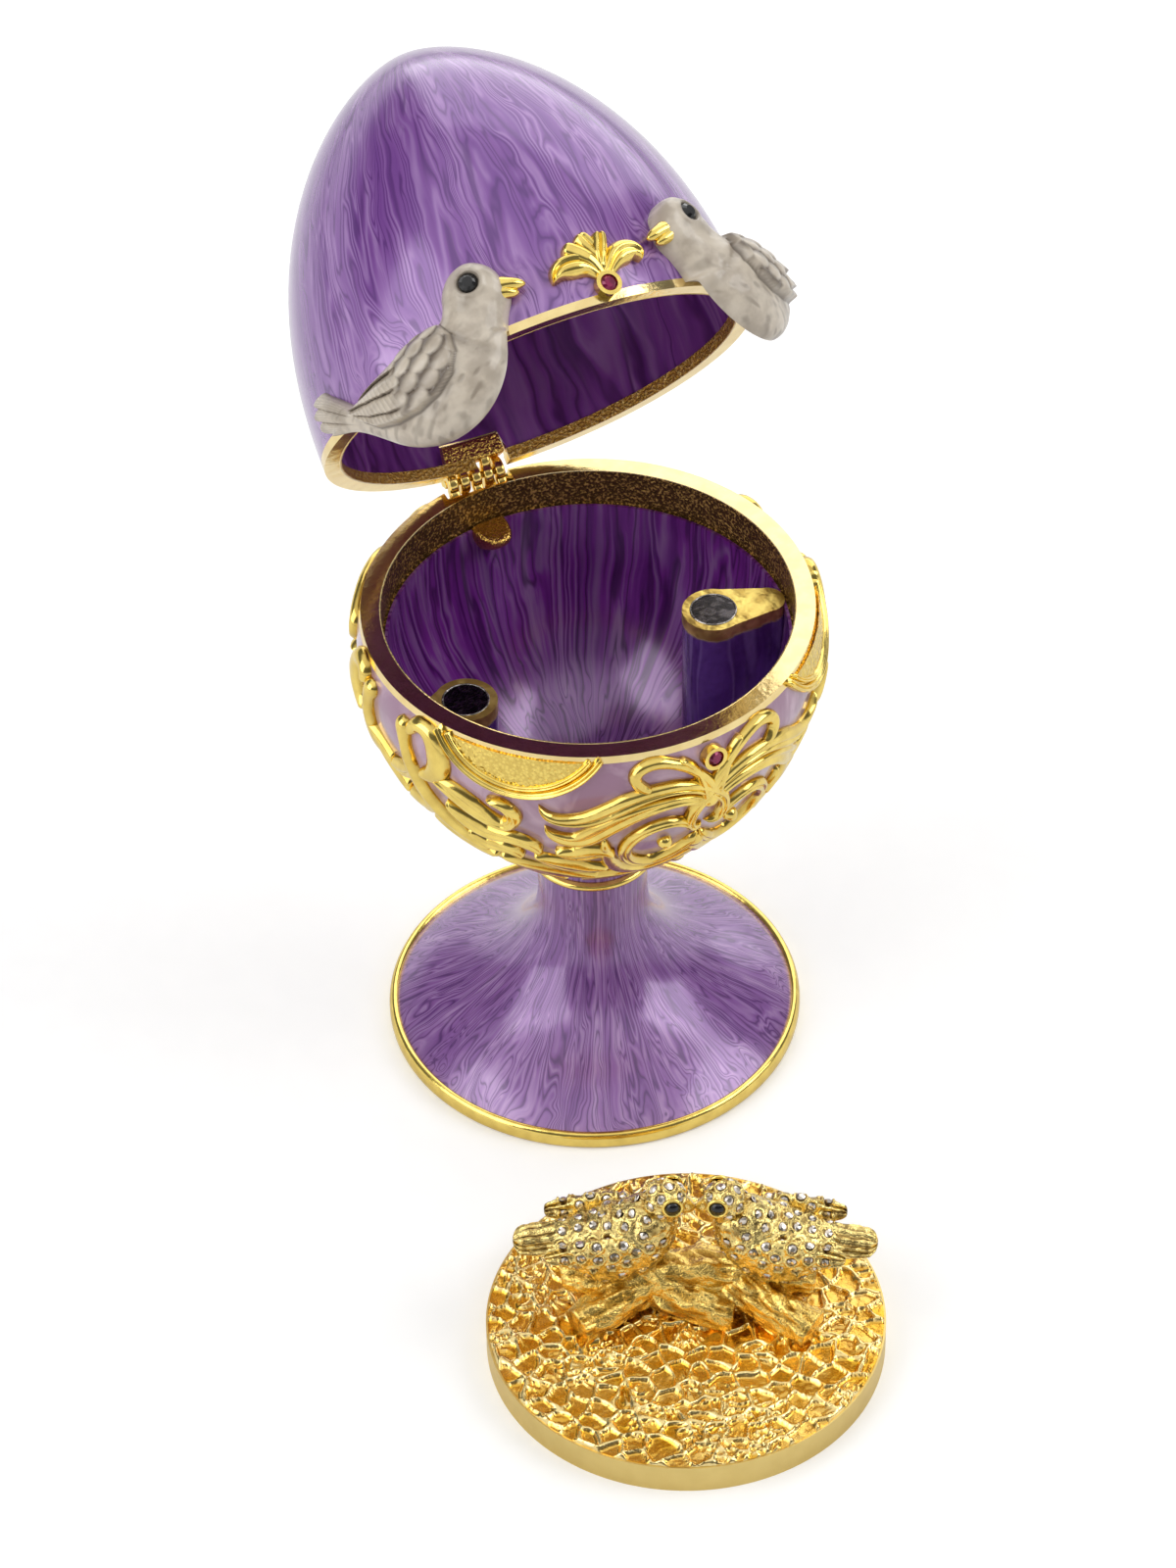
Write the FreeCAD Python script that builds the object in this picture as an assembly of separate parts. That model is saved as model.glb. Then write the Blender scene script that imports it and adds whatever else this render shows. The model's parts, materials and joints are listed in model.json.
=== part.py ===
import FreeCAD, Part
import math
import os
from FreeCAD import Matrix, Vector

# Decorative egg box on a trumpet foot, with its lid standing open and its insert taken out.
# Millimetres, +Z up, origin on the egg's axis at the surface that the foot stands on.
# The stone on the cup faces -Y, and the hinge is at +Y.

# Foot
foot_radius = 28.6
foot_bead_width = 1.2
foot_bead_height = 2.5
foot_enamel_edge_height = 2.1
foot_flare_height = 4.6
foot_flare_radius = 23.6
foot_slope_height = 7.4
foot_slope_radius = 18.4
foot_trumpet_height = 11.2
foot_trumpet_radius = 13.0
foot_waist_height = 15.4
foot_waist_radius = 9.6
foot_throat_height = 19.5
foot_throat_radius = 7.9
neck_radius = 7.5
neck_height = 29.3
foot_wall = 1.6
base_plate_radius = 25.6
base_plate_thickness = 1.0

# Enamel, from the gilt metal outwards
enamel_thickness = 0.4

# Screw that holds the foot, the collar and the cup together
screw_shank_radius = 1.5
screw_clearance = 0.1
screw_head_radius = 2.8
screw_head_height = 2.0
screw_engagement = 6.0

# Collar and violet band under the cup
collar_radius = 8.8
collar_height = 1.3
band_radius = 7.9
band_height = 2.4

# Cup
rim_radius = 30.0
cup_height = 40.65
cup_shoulder_radius = 30.7
cup_rim_edge = 1.0
rim_flat_width = 2.7
inner_wall_height = 5.5
hollow_radius = 27.0
hollow_depth = 36.5
hollow_bulge_power = 2.3
hollow_tip_power = 0.6

# Lid
lid_height = 49.25
lid_bulge_power = 2.2
lid_tip_power = 0.63
lid_rim_edge = 1.2
lid_wall = 1.3
lid_rim_flat_width = 2.4
lid_inner_edge = 1.6
closing_gap = 0.2
open_angle = 57.6

# Hinge
pin_offset = 0.5
pin_radius = 0.55
pin_running_clearance = 0.05
pin_overhang = 0.45
knuckle_radius = 1.25
knuckle_width = 1.42
knuckle_gap = 0.1
knuckle_count = 5
leaf_half_width = 4.9
leaf_reach = 2.4
leaf_thickness = 1.9
notch_depth = 4.3
hinge_skew = -5.5

# Magnet posts and the rest beside the hinge, which carry the insert
insert_seat_depth = 5.15
left_post_x = -20.4
left_post_y = -3.0
right_post_x = 16.6
right_post_y = -4.5
post_radius = 4.2
post_web_radius = 2.4
post_web_reach = 7.4
magnet_radius = 3.15
magnet_thickness = 2.0
rest_half_width = 2.6
rest_reach = 5.0
rest_height = 6.5
rest_lip = 2.0

# Scroll mounts on the cup
scroll_relief = 1.0
scroll_width = 2.0
leaf_width = 3.7
lunette_relief = 0.45
lunette_border_relief = 0.75
lunette_half_angle = 22.7
lunette_angle = 49.5
lunette_depth = 6.9
lunette_border_width = 1.1
bead_radius = 1.15

# Stones on the lid and on the cup
stone_radius = 1.15
stone_height = 1.5
bezel_wall = 0.55
bezel_height = 1.3
lid_stone_height = 2.0
cup_stone_depth = 3.1
front_angle = 0.7

# Doves on the lid
dove_length = 27.0
dove_relief = 5.4
dove_inner_clearance = 0.45
dove_eye_radius = 1.15
dove_eye_stand = 0.35
dove_beak_length = 3.6
dove_beak_radius = 1.3
dove_beak_tip_radius = 0.3
fleur_length = 8.2

# Insert that lifts out
insert_x = -21.95
insert_y = -60.93
insert_angle = -29.8
insert_radius = 26.36
insert_height = 4.28
insert_wall = 1.2
insert_deck = 1.3
catch_disc_radius = 3.15
catch_disc_thickness = 0.8
catch_boss_wall = 0.9

# Perch and lovebirds on the insert
perch_radius = 2.9
perch_span = 34.0
bird_line_depth = 4.0
beak_meeting = 1.35
bird_length = 23.0
bird_head_radius = 2.95
bird_head_height = 22.2
crystal_radius = 0.62
crystal_sink = 0.35
bird_eye_radius = 1.0

# Small gap beyond a surface that a cut passes through
overrun = 2.0

TURN = 360.0
UP = Vector(0, 0, 1)
ORIGIN = Vector(0, 0, 0)

# Heights that follow from the sizes above
collar_z = neck_height
band_z = collar_z + collar_height
cup_z = band_z + band_height
rim_z = cup_z + cup_height
lid_rim_z = rim_z + closing_gap
post_top_z = rim_z - insert_seat_depth
hinge_y = rim_radius + pin_offset
hinge_point = Vector(0, hinge_y, rim_z + closing_gap / 2)
hinge_axis = Vector(math.cos(math.radians(hinge_skew)), math.sin(math.radians(hinge_skew)), 0)

# Cup outline: share of the cup's height below the rim, and share of the shoulder radius.
# The first radius is the rim's and the last one the band's, so both are left out here.
cup_outline_shares = (
    (0.123, 1.000),
    (0.246, 0.985),
    (0.369, 0.940),
    (0.492, 0.870),
    (0.615, 0.770),
    (0.739, 0.628),
    (0.862, 0.477),
    (0.936, 0.372),
)


def at(radius, height):
    """A point of a profile that is turned about the egg's axis."""
    return Vector(radius, 0, height)


def spline(points):
    curve = Part.BSplineCurve()
    curve.interpolate(points)
    return curve


def moved_in(points, inset):
    """The same profile points, moved towards the axis so that a skin has an even thickness."""
    curve = spline(points)
    result = []
    for point in points:
        slope = curve.tangent(curve.parameter(point))[0]
        result.append(at(point.x - inset / abs(slope.z), point.z))
    return result


def outline(parts):
    """A closed wire from lists of points: two points make a line, more make a spline."""
    edges = []
    for points in parts:
        if len(points) == 2:
            edges.append(Part.makeLine(points[0], points[1]))
        else:
            edges.append(spline(points).toShape())
    return Part.Wire(Part.__sortEdges__(edges))


def turned(parts):
    return Part.Face(outline(parts)).revolve(ORIGIN, UP, TURN)


def polygon_turned(corners):
    closed = corners + [corners[0]]
    return turned([closed[i:i + 2] for i in range(len(corners))])


def rod(radius, height, base, direction=UP):
    return Part.makeCylinder(radius, height, base, direction)


def fused(shapes):
    whole = shapes[0]
    if len(shapes) > 1:
        whole = shapes[0].multiFuse(shapes[1:])
    return whole.removeSplitter()


def single(shape):
    """The one solid inside a result."""
    solids = sorted(shape.Solids, key=lambda solid: solid.Volume)
    return solids[-1]


def stretched(unit_shape, centre, along, across, outward, half_sizes):
    """A unit ball or circle stretched along three directions and moved to its centre."""
    a, b, c = half_sizes
    stretch = Matrix(
        along.x * a, across.x * b, outward.x * c, centre.x,
        along.y * a, across.y * b, outward.y * c, centre.y,
        along.z * a, across.z * b, outward.z * c, centre.z,
        0, 0, 0, 1,
    )
    return unit_shape.transformGeometry(stretch)


def limb(points, radii):
    """A solid loft through circles square to a path."""
    wires = []
    last = len(points) - 1
    for index, point in enumerate(points):
        ahead = points[min(index + 1, last)] - points[max(index - 1, 0)]
        wires.append(Part.Wire(Part.Circle(point, ahead, radii[index]).toShape()))
    return Part.makeLoft(wires, True, False)


def oval_limb(points, half_widths, half_heights):
    """A solid loft through ovals that stand square to a path in a plane of constant Y."""
    wires = []
    last = len(points) - 1
    across = Vector(0, 1, 0)
    for index, point in enumerate(points):
        ahead = (points[min(index + 1, last)] - points[max(index - 1, 0)]).normalize()
        sizes = (half_widths[index], half_heights[index], 1)
        oval = stretched(Part.makeCircle(1), point, across, ahead.cross(across), ahead, sizes)
        wires.append(Part.Wire(oval.Edges))
    return Part.makeLoft(wires, True, False)


def dome(radius, height, bulge, tip, start, steps=9):
    """Points of an egg end: radius times (1 - (height share) ** bulge) ** tip."""
    points = []
    first = math.asin(start / height)
    for step in range(steps):
        lift = height * math.sin(first + (math.pi / 2 - first) * step / steps)
        points.append(at(radius * (1 - (lift / height) ** bulge) ** tip, lift))
    points.append(at(0, height))
    return points


def raised(points, base, sense=1):
    return [at(point.x, base + sense * point.z) for point in points]


# Foot

def foot_points():
    return [
        at(foot_radius - foot_bead_width, foot_enamel_edge_height),
        at(foot_flare_radius, foot_flare_height),
        at(foot_slope_radius, foot_slope_height),
        at(foot_trumpet_radius, foot_trumpet_height),
        at(foot_waist_radius, foot_waist_height),
        at(foot_throat_radius, foot_throat_height),
        at(neck_radius, (foot_throat_height + neck_height) / 2),
        at(neck_radius, neck_height),
    ]


def foot_casting():
    """Gilt casting: trumpet, bead round the edge, and a bore for the screw up the neck."""
    top = moved_in(foot_points(), enamel_thickness)
    under = moved_in(foot_points()[:4], enamel_thickness + foot_wall)
    bore = screw_shank_radius + screw_clearance
    bead_inner = foot_radius - foot_bead_width
    bead_middle = foot_radius - foot_bead_width / 2
    parts = [
        [at(bore, neck_height), top[-1]],
        top,
        [top[0], at(bead_inner, foot_enamel_edge_height)],
        [at(bead_inner, foot_enamel_edge_height), at(bead_middle, foot_bead_height),
         at(foot_radius, foot_bead_height / 2), at(bead_middle, 0)],
        [at(bead_middle, 0), at(base_plate_radius, 0)],
        [at(base_plate_radius, 0), at(base_plate_radius, base_plate_thickness)],
        [at(base_plate_radius, base_plate_thickness), at(under[0].x, base_plate_thickness)],
        [at(under[0].x, base_plate_thickness), under[0]],
        under,
        [under[-1], at(bore, under[-1].z)],
        [at(bore, under[-1].z), at(bore, neck_height)],
    ]
    return turned(parts)


def foot_enamel():
    outer = foot_points()
    inner = moved_in(outer, enamel_thickness)
    return turned([outer, [outer[-1], inner[-1]], inner, [inner[0], outer[0]]])


def foot_base_plate():
    return rod(base_plate_radius, base_plate_thickness, ORIGIN)


def stem_screw():
    """Pan head under the foot's vault, shank up through the neck and collar into the cup."""
    head_top = foot_trumpet_height
    shank_end = band_z + screw_engagement
    head = rod(screw_head_radius, screw_head_height, Vector(0, 0, head_top - screw_head_height))
    shank = rod(screw_shank_radius, shank_end - head_top, Vector(0, 0, head_top))
    return fused([head, shank])


def neck_collar():
    bore = screw_shank_radius + screw_clearance
    middle = collar_z + collar_height / 2
    land = collar_radius - collar_height / 2
    return turned([
        [at(bore, collar_z), at(land, collar_z)],
        [at(land, collar_z), at(collar_radius, middle), at(land, band_z)],
        [at(land, band_z), at(bore, band_z)],
        [at(bore, band_z), at(bore, collar_z)],
    ])


def neck_band_enamel():
    inner = band_radius - enamel_thickness
    return polygon_turned([at(inner, band_z), at(band_radius, band_z), at(band_radius, cup_z),
                           at(inner, cup_z)])


# Cup

def cup_points(first_depth=0, last_depth=cup_height):
    """Profile of the enamel's outside, from near the rim down to the band."""
    whole = [at(rim_radius, rim_z)]
    for depth_share, radius_share in cup_outline_shares:
        whole.append(at(cup_shoulder_radius * radius_share, rim_z - cup_height * depth_share))
    whole.append(at(band_radius, cup_z))
    curve = spline(whole)
    depths = [first_depth, last_depth]
    kept = [p for p in whole if rim_z - last_depth + overrun / 4 < p.z < rim_z - first_depth - overrun / 4]
    ends = []
    for depth in depths:
        plane = Part.Line(at(0, rim_z - depth), at(rim_radius, rim_z - depth))
        crossing = curve.intersect(plane)
        ends.append(max((Vector(p.X, p.Y, p.Z) for p in crossing), key=lambda p: p.x))
    return [ends[0]] + kept + [ends[1]]


def cup_hollow_points(inset=0):
    """Profile of the cup's hollow below its straight gilt wall, down to its lowest point."""
    depth = hollow_depth - inner_wall_height
    points = dome(hollow_radius - inset, depth - inset, hollow_bulge_power, hollow_tip_power, 0)
    return raised(points, rim_z - inner_wall_height, -1)


def hinge_notch(below, above):
    """A block that clears the wall for the hinge, turned with the hinge's axis."""
    width = 2 * leaf_half_width
    block = Part.makeBox(width, leaf_reach + pin_offset + knuckle_radius + overrun, below + above,
                         Vector(-leaf_half_width, -leaf_reach - pin_offset, -below))
    return at_hinge(block)


def at_hinge(shape):
    placed = shape.copy()
    placed.rotate(ORIGIN, UP, hinge_skew)
    placed.translate(hinge_point)
    return placed


def cup_casting():
    """Gilt bowl: flat rim, straight inner wall, hollow and a spigot in the band for the screw."""
    body = cup_points(cup_rim_edge)
    skin = moved_in(body, enamel_thickness)
    hollow = cup_hollow_points()
    rim_edge = cup_points(0, 2 * cup_rim_edge)
    edge_at = body[0]
    inner_radius = rim_radius - rim_flat_width
    spigot = band_radius - enamel_thickness
    seat_z = rim_z - inner_wall_height
    parts = [
        [at(inner_radius, rim_z), rim_edge[0]],
        [rim_edge[0], edge_at],
        [edge_at, skin[0]],
        skin,
        [skin[-1], at(spigot, cup_z)],
        [at(spigot, cup_z), at(spigot, band_z)],
        [at(spigot, band_z), at(0, band_z)],
        [at(0, band_z), hollow[-1]],
        hollow,
        [hollow[0], at(inner_radius, seat_z)],
        [at(inner_radius, seat_z), at(inner_radius, rim_z)],
    ]
    parts = [part for part in parts if (part[0] - part[-1]).Length > 0]
    bowl = turned(parts)
    tapped = rod(screw_shank_radius, screw_engagement, Vector(0, 0, band_z))
    return single(bowl.cut(fused([tapped, hinge_notch(notch_depth, overrun)])))


def cup_outer_enamel():
    outer = cup_points(cup_rim_edge)
    inner = moved_in(outer, enamel_thickness)
    skin = turned([outer, [outer[-1], inner[-1]], inner, [inner[0], outer[0]]])
    return single(skin.cut(hinge_notch(notch_depth, overrun)))


def cup_inner_enamel():
    outer = cup_hollow_points()
    inner = cup_hollow_points(enamel_thickness)
    return turned([outer, [outer[-1], inner[-1]], inner, [inner[0], outer[0]]])


def cup_hollow():
    """The space inside the cup's enamel, up to the level that the insert rests on."""
    inner = cup_hollow_points(enamel_thickness)
    seat_z = rim_z - inner_wall_height
    side = rim_radius - rim_flat_width
    dish = turned([inner, [inner[-1], at(0, seat_z)], [at(0, seat_z), inner[0]]])
    return fused([dish, rod(side, overrun, Vector(0, 0, seat_z))])


def magnet_post(x, y):
    """Pillar that rises from the bowl to the insert's seat, webbed to the nearer wall."""
    bottom = cup_z
    height = post_top_z - bottom
    centre = Vector(x, y, bottom)
    out = Vector(x, y, 0).normalize()
    side = out.cross(UP)
    web_end = centre + out * post_web_reach
    pillar = rod(post_radius, height, centre)
    tip = rod(post_web_radius, height, web_end)
    corners = [centre + side * post_radius, web_end + side * post_web_radius,
               web_end - side * post_web_radius, centre - side * post_radius]
    web = Part.Face(Part.makePolygon(corners + [corners[0]])).extrude(Vector(0, 0, height))
    whole = fused([pillar, web, tip])
    seat = rod(magnet_radius, magnet_thickness, Vector(x, y, post_top_z - magnet_thickness))
    return single(whole.common(cup_hollow()).cut(seat))


def cup_magnet(x, y):
    return rod(magnet_radius, magnet_thickness, Vector(x, y, post_top_z - magnet_thickness))


def hinge_side_rest():
    """Gilt bracket on the wall under the hinge, the insert's third rest."""
    front = rim_radius - rim_flat_width - rest_reach
    back = rim_radius
    corners = [Vector(-rest_half_width, front, post_top_z), Vector(-rest_half_width, back, post_top_z),
               Vector(-rest_half_width, back, post_top_z - rest_height),
               Vector(-rest_half_width, front, post_top_z - rest_lip)]
    bracket = Part.Face(Part.makePolygon(corners + [corners[0]])).extrude(Vector(2 * rest_half_width, 0, 0))
    return single(bracket.common(cup_hollow()))


# Ornament on the cup

def cup_spot(angle, depth_share):
    """A point on the cup's outside and the outward direction there."""
    curve = spline(cup_points())
    height = rim_z - cup_height * depth_share
    plane = Part.Line(at(0, height), at(rim_radius, height))
    crossing = max((Vector(p.X, p.Y, p.Z) for p in curve.intersect(plane)), key=lambda p: p.x)
    slope = curve.tangent(curve.parameter(crossing))[0]
    turn = math.radians(angle)
    ahead = Vector(math.sin(turn), -math.cos(turn), 0)
    point = ahead * crossing.x + Vector(0, 0, crossing.z)
    outward = ahead * abs(slope.z) + Vector(0, 0, slope.x if slope.z < 0 else -slope.x)
    return point, outward.normalize()


def cup_shell(relief, first_depth=cup_rim_edge, last_depth=cup_height):
    inner = cup_points(first_depth, last_depth)
    outer = moved_in(inner, -relief)
    return turned([inner, [inner[-1], outer[-1]], outer, [outer[0], inner[0]]])


def ribbon(places, widths):
    """A block whose outline is a ribbon along places on the cup, seen from its middle."""
    spots = [cup_spot(angle, depth) for angle, depth in places]
    middle, facing = spots[len(spots) // 2]
    last = len(spots) - 1
    left = []
    right = []
    for index, (point, outward) in enumerate(spots):
        ahead = spots[min(index + 1, last)][0] - spots[max(index - 1, 0)][0]
        side = ahead.cross(outward).normalize() * (widths[index] / 2)
        for row, shifted in ((left, point + side), (right, point - side)):
            sunk = (shifted - middle).dot(facing) + rim_flat_width
            row.append(shifted - facing * sunk)
    edges = [spline(left).toShape(), Part.makeLine(left[-1], right[-1]),
             spline(right).toShape(), Part.makeLine(right[0], left[0])]
    face = Part.Face(Part.Wire(Part.__sortEdges__(edges)))
    return face.extrude(facing * (2 * rim_flat_width))


# Scrolls on one side of the front stone: angle from the front, share of the cup's depth.
# Each is followed by its width as a share of the scroll's width at those places.
scroll_place_shares = (
    ((-42, 0.235), (-37, 0.262), (-30, 0.258), (-21, 0.200), (-13, 0.168), (-5, 0.180), (3, 0.235)),
    ((-42, 0.330), (-36, 0.378), (-29, 0.372), (-21, 0.290), (-11, 0.236), (-2, 0.240), (5, 0.300)),
    ((-14, 0.140), (-17, 0.110), (-16, 0.060), (-11, 0.042), (-5, 0.080), (0, 0.160)),
    ((-23, 0.450), (-20, 0.350), (-12, 0.305), (-3, 0.345), (2, 0.440), (0, 0.560)),
    ((0, 0.560), (-6, 0.615), (-14, 0.620), (-20, 0.560), (-23, 0.450)),
    ((-51, 0.300), (-56, 0.370), (-64, 0.335), (-72, 0.255), (-80, 0.190), (-82, 0.110), (-77, 0.060)),
    ((-46, 0.480), (-53, 0.500), (-61, 0.440), (-69, 0.365), (-78, 0.300), (-88, 0.290)),
    ((-88, 0.290), (-84, 0.200), (-86, 0.110), (-90, 0.080)),
    ((-58, 0.620), (-66, 0.590), (-75, 0.500), (-84, 0.430), (-90, 0.420)),
)
leaf_place_shares = (
    ((-20, 0.520), (-28, 0.470), (-36, 0.440), (-43, 0.420)),
    ((-22, 0.640), (-30, 0.610), (-38, 0.620), (-45, 0.590)),
    ((-30, 0.780), (-40, 0.740), (-52, 0.690), (-60, 0.640)),
    ((4, 0.860), (-10, 0.790), (-24, 0.800), (-34, 0.870)),
    ((-42, 0.880), (-56, 0.830), (-72, 0.780), (-86, 0.740)),
)
# Scrolls at the back, where the front has its crescents.
crest_place_shares = (
    ((-26, 0.130), (-31, 0.070), (-40, 0.040), (-50, 0.050), (-57, 0.100), (-54, 0.165), (-46, 0.150)),
    ((-74, 0.235), (-69, 0.150), (-64, 0.200), (-56, 0.240), (-48, 0.235), (-42, 0.200), (-36, 0.140)),
)
scroll_width_shares = (0.70, 1.15, 1.35, 1.20, 1.05, 0.95, 0.75)
leaf_width_shares = (0.45, 1.0, 0.95, 0.35)
lowest_scroll_share = 0.955
bead_angle = 10.5
bead_depth_share = 0.460


def mirrored_pair(blocks):
    """The blocks of one side joined with their mirror image across the front."""
    side = fused(blocks)
    return fused(side.Solids + side.mirror(ORIGIN, Vector(1, 0, 0)).Solids)


def cup_scrollwork():
    """Gilt scroll and leaf mounts on the enamel, alike on both sides and at front and back."""
    blocks = []
    for places in scroll_place_shares:
        widths = [scroll_width * share for share in scroll_width_shares[:len(places)]]
        blocks.append(ribbon(places, widths))
    for places in leaf_place_shares:
        blocks.append(ribbon(places, [leaf_width * share for share in leaf_width_shares]))
    front = mirrored_pair(blocks)
    crest_widths = [scroll_width * share for share in scroll_width_shares]
    back = mirrored_pair(blocks + [ribbon(places, crest_widths) for places in crest_place_shares])
    front.rotate(ORIGIN, UP, front_angle)
    back.rotate(ORIGIN, UP, front_angle + TURN / 2)
    keep_clear = fused([lunette_block(sign, 0) for sign in (-1, 1)] + [hinge_notch(notch_depth, overrun),
                       stone_clearance()])
    shell = cup_shell(scroll_relief, cup_rim_edge, cup_height * lowest_scroll_share)
    return fused(front.Solids + back.Solids).cut(keep_clear).common(shell)


def scroll_beads():
    """A gilt half bead on the enamel inside each of the four ring scrolls."""
    beads = []
    for middle in (front_angle, front_angle + TURN / 2):
        for side in (-bead_angle, bead_angle):
            spot, outward = cup_spot(middle + side, bead_depth_share)
            ball = Part.makeSphere(bead_radius, spot)
            half = rod(2 * bead_radius, 2 * bead_radius, spot, outward)
            beads.append(ball.common(half))
    return Part.makeCompound(beads)


def stone_clearance():
    spot, outward = cup_spot(front_angle, cup_stone_depth / cup_height)
    return rod(stone_radius + bezel_wall, 2 * bezel_height, spot - outward * bezel_height, outward)


def lunette_block(side_sign, inset):
    """Block over the crescent panel under the rim, whose lower edge is an arc."""
    middle, facing = cup_spot(front_angle + side_sign * lunette_angle, 0)
    across = UP.cross(facing).normalize()
    half = rim_radius * math.sin(math.radians(lunette_half_angle)) - inset
    drop = lunette_depth - inset
    start = middle - facing * rim_flat_width * 2
    top = UP * overrun
    arc = Part.Arc(start - across * half, start - UP * drop, start + across * half)
    edges = [arc.toShape(), Part.makeLine(start + across * half, start + across * half + top),
             Part.makeLine(start + across * half + top, start - across * half + top),
             Part.makeLine(start - across * half + top, start - across * half)]
    face = Part.Face(Part.Wire(Part.__sortEdges__(edges)))
    return face.extrude(facing * (rim_flat_width * 4))


def lunette(side_sign):
    """Hammered gilt crescent under a dove, with a raised border along its lower edge."""
    field = cup_shell(lunette_relief).common(lunette_block(side_sign, 0))
    border = cup_shell(lunette_border_relief).common(lunette_block(side_sign, 0))
    border = border.cut(lunette_block(side_sign, lunette_border_width))
    return single(fused([single(field), single(border)]))


# Stones

def stone_setting(spot, outward):
    """A gilt cup that stands on the enamel and holds one round stone by its girdle."""
    outer = rod(stone_radius + bezel_wall, bezel_height, spot, outward)
    pocket = rod(stone_radius, stone_height, spot + outward * (bezel_height - stone_height / 2), outward)
    return outer.cut(pocket)


def stone(spot, outward):
    """A round stone: a straight girdle under a cut crown."""
    base = spot + outward * (bezel_height - stone_height / 2)
    girdle = rod(stone_radius, stone_height / 2, base, outward)
    crown = Part.makeCone(stone_radius, stone_radius / 2, stone_height / 3, base + outward * (stone_height / 2), outward)
    return fused([girdle, crown])


# Lid, first drawn closed

def lid_points(inset=0, start=0):
    points = dome(rim_radius - inset, lid_height - inset, lid_bulge_power, lid_tip_power, start)
    return raised(points, lid_rim_z)


def lid_solid():
    outer = lid_points()
    return turned([outer, [outer[-1], at(0, lid_rim_z)], [at(0, lid_rim_z), outer[0]]])


def lid_casting():
    rim = lid_points()
    skin = lid_points(enamel_thickness, lid_rim_edge)
    outer = lid_points(0, lid_rim_edge)
    hollow = lid_points(enamel_thickness + lid_wall, lid_inner_edge)
    inner_radius = rim_radius - lid_rim_flat_width
    edge_z = lid_rim_z + lid_inner_edge
    parts = [
        [at(inner_radius, lid_rim_z), rim[0]],
        [rim[0], outer[0]],
        [outer[0], skin[0]],
        skin,
        [skin[-1], hollow[-1]],
        hollow,
        [hollow[0], at(inner_radius, edge_z)],
        [at(inner_radius, edge_z), at(inner_radius, lid_rim_z)],
    ]
    shell = turned(parts)
    return single(shell.cut(hinge_notch(overrun, notch_depth)))


def lid_outer_enamel():
    outer = lid_points(0, lid_rim_edge)
    inner = lid_points(enamel_thickness, lid_rim_edge)
    skin = turned([outer, [outer[-1], inner[-1]], inner, [inner[0], outer[0]]])
    return single(skin.cut(hinge_notch(overrun, notch_depth)))


def lid_inner_enamel():
    outer = lid_points(enamel_thickness + lid_wall, lid_inner_edge)
    inner = lid_points(2 * enamel_thickness + lid_wall, lid_inner_edge)
    skin = turned([outer, [outer[-1], inner[-1]], inner, [inner[0], outer[0]]])
    return single(skin.cut(hinge_notch(overrun, notch_depth)))


def lid_spot(angle, height):
    """A point on the lid's outside and the outward direction there; below the rim it hangs plumb."""
    turn = math.radians(angle)
    ahead = Vector(math.sin(turn), -math.cos(turn), 0)
    share = max(height, 0) / lid_height
    radius = rim_radius * (1 - share ** lid_bulge_power) ** lid_tip_power
    step = lid_height / TURN
    nearby = rim_radius * (1 - (share + step / lid_height) ** lid_bulge_power) ** lid_tip_power
    outward = ahead * step + UP * (radius - nearby)
    return ahead * radius + Vector(0, 0, lid_rim_z + height), outward.normalize()


def lid_keep_out():
    """What a dove may not enter: the lid itself, and the cup's bulge below the closed rim."""
    radius = cup_shoulder_radius + lunette_border_relief + dove_inner_clearance
    below = rod(radius, dove_length / 2, Vector(0, 0, rim_z - dove_length / 2))
    return fused([lid_solid(), below, rod(rim_radius, closing_gap, Vector(0, 0, rim_z))])


def relief_ball(angle, height, half_sizes, lean, proud=0):
    """An ellipsoid on the lid: half sizes along, across and outwards; lean turns it in the surface."""
    spot, outward = lid_spot(angle, height)
    level = UP.cross(outward).normalize()
    rise = outward.cross(level)
    turn = math.radians(lean)
    along = level * math.cos(turn) + rise * math.sin(turn)
    across = rise * math.cos(turn) - level * math.sin(turn)
    return stretched(Part.makeSphere(1), spot + outward * proud, along, across, outward, half_sizes)


# One dove, left of the front: angle, height and half sizes as shares of its length, lean, stand.
dove_form_shares = (
    (-32.6, 0.245, 0.162, 0.150, 0.125, 0, 0.020),
    (-35.5, 0.060, 0.150, 0.170, 0.150, -70, 0.020),
    (-44.0, -0.085, 0.260, 0.200, 0.195, -14, 0.010),
    (-55.0, -0.110, 0.285, 0.165, 0.165, -10, 0.000),
    (-55.5, 0.070, 0.285, 0.130, 0.110, -18, 0.105),
    (-66.0, 0.040, 0.180, 0.085, 0.105, -14, 0.060),
    (-77.0, 0.130, 0.260, 0.048, 0.085, 2, 0.020),
    (-77.0, 0.045, 0.280, 0.050, 0.085, -4, 0.020),
    (-76.0, -0.035, 0.240, 0.048, 0.075, -12, 0.010),
)
dove_eye_angle = -30.2
dove_eye_height = 7.1
dove_beak_angle = -24.9
dove_beak_height = 5.9
dove_beak_lean = -8
# Each dove's turn towards the front and its rise, from where the table above puts it.
dove_places = {"left": (0, 0), "right": (4.4, 1.4)}


def dove_closed(turn, rise):
    balls = []
    for angle, height, a, b, c, lean, proud in dove_form_shares:
        sizes = [dove_length * share for share in (a, b, c)]
        level = dove_length * height + rise
        balls.append(relief_ball(angle + turn, level, sizes, lean, dove_length * proud))
    body = fused(balls).cut(lid_keep_out())
    return single(body)


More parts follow.
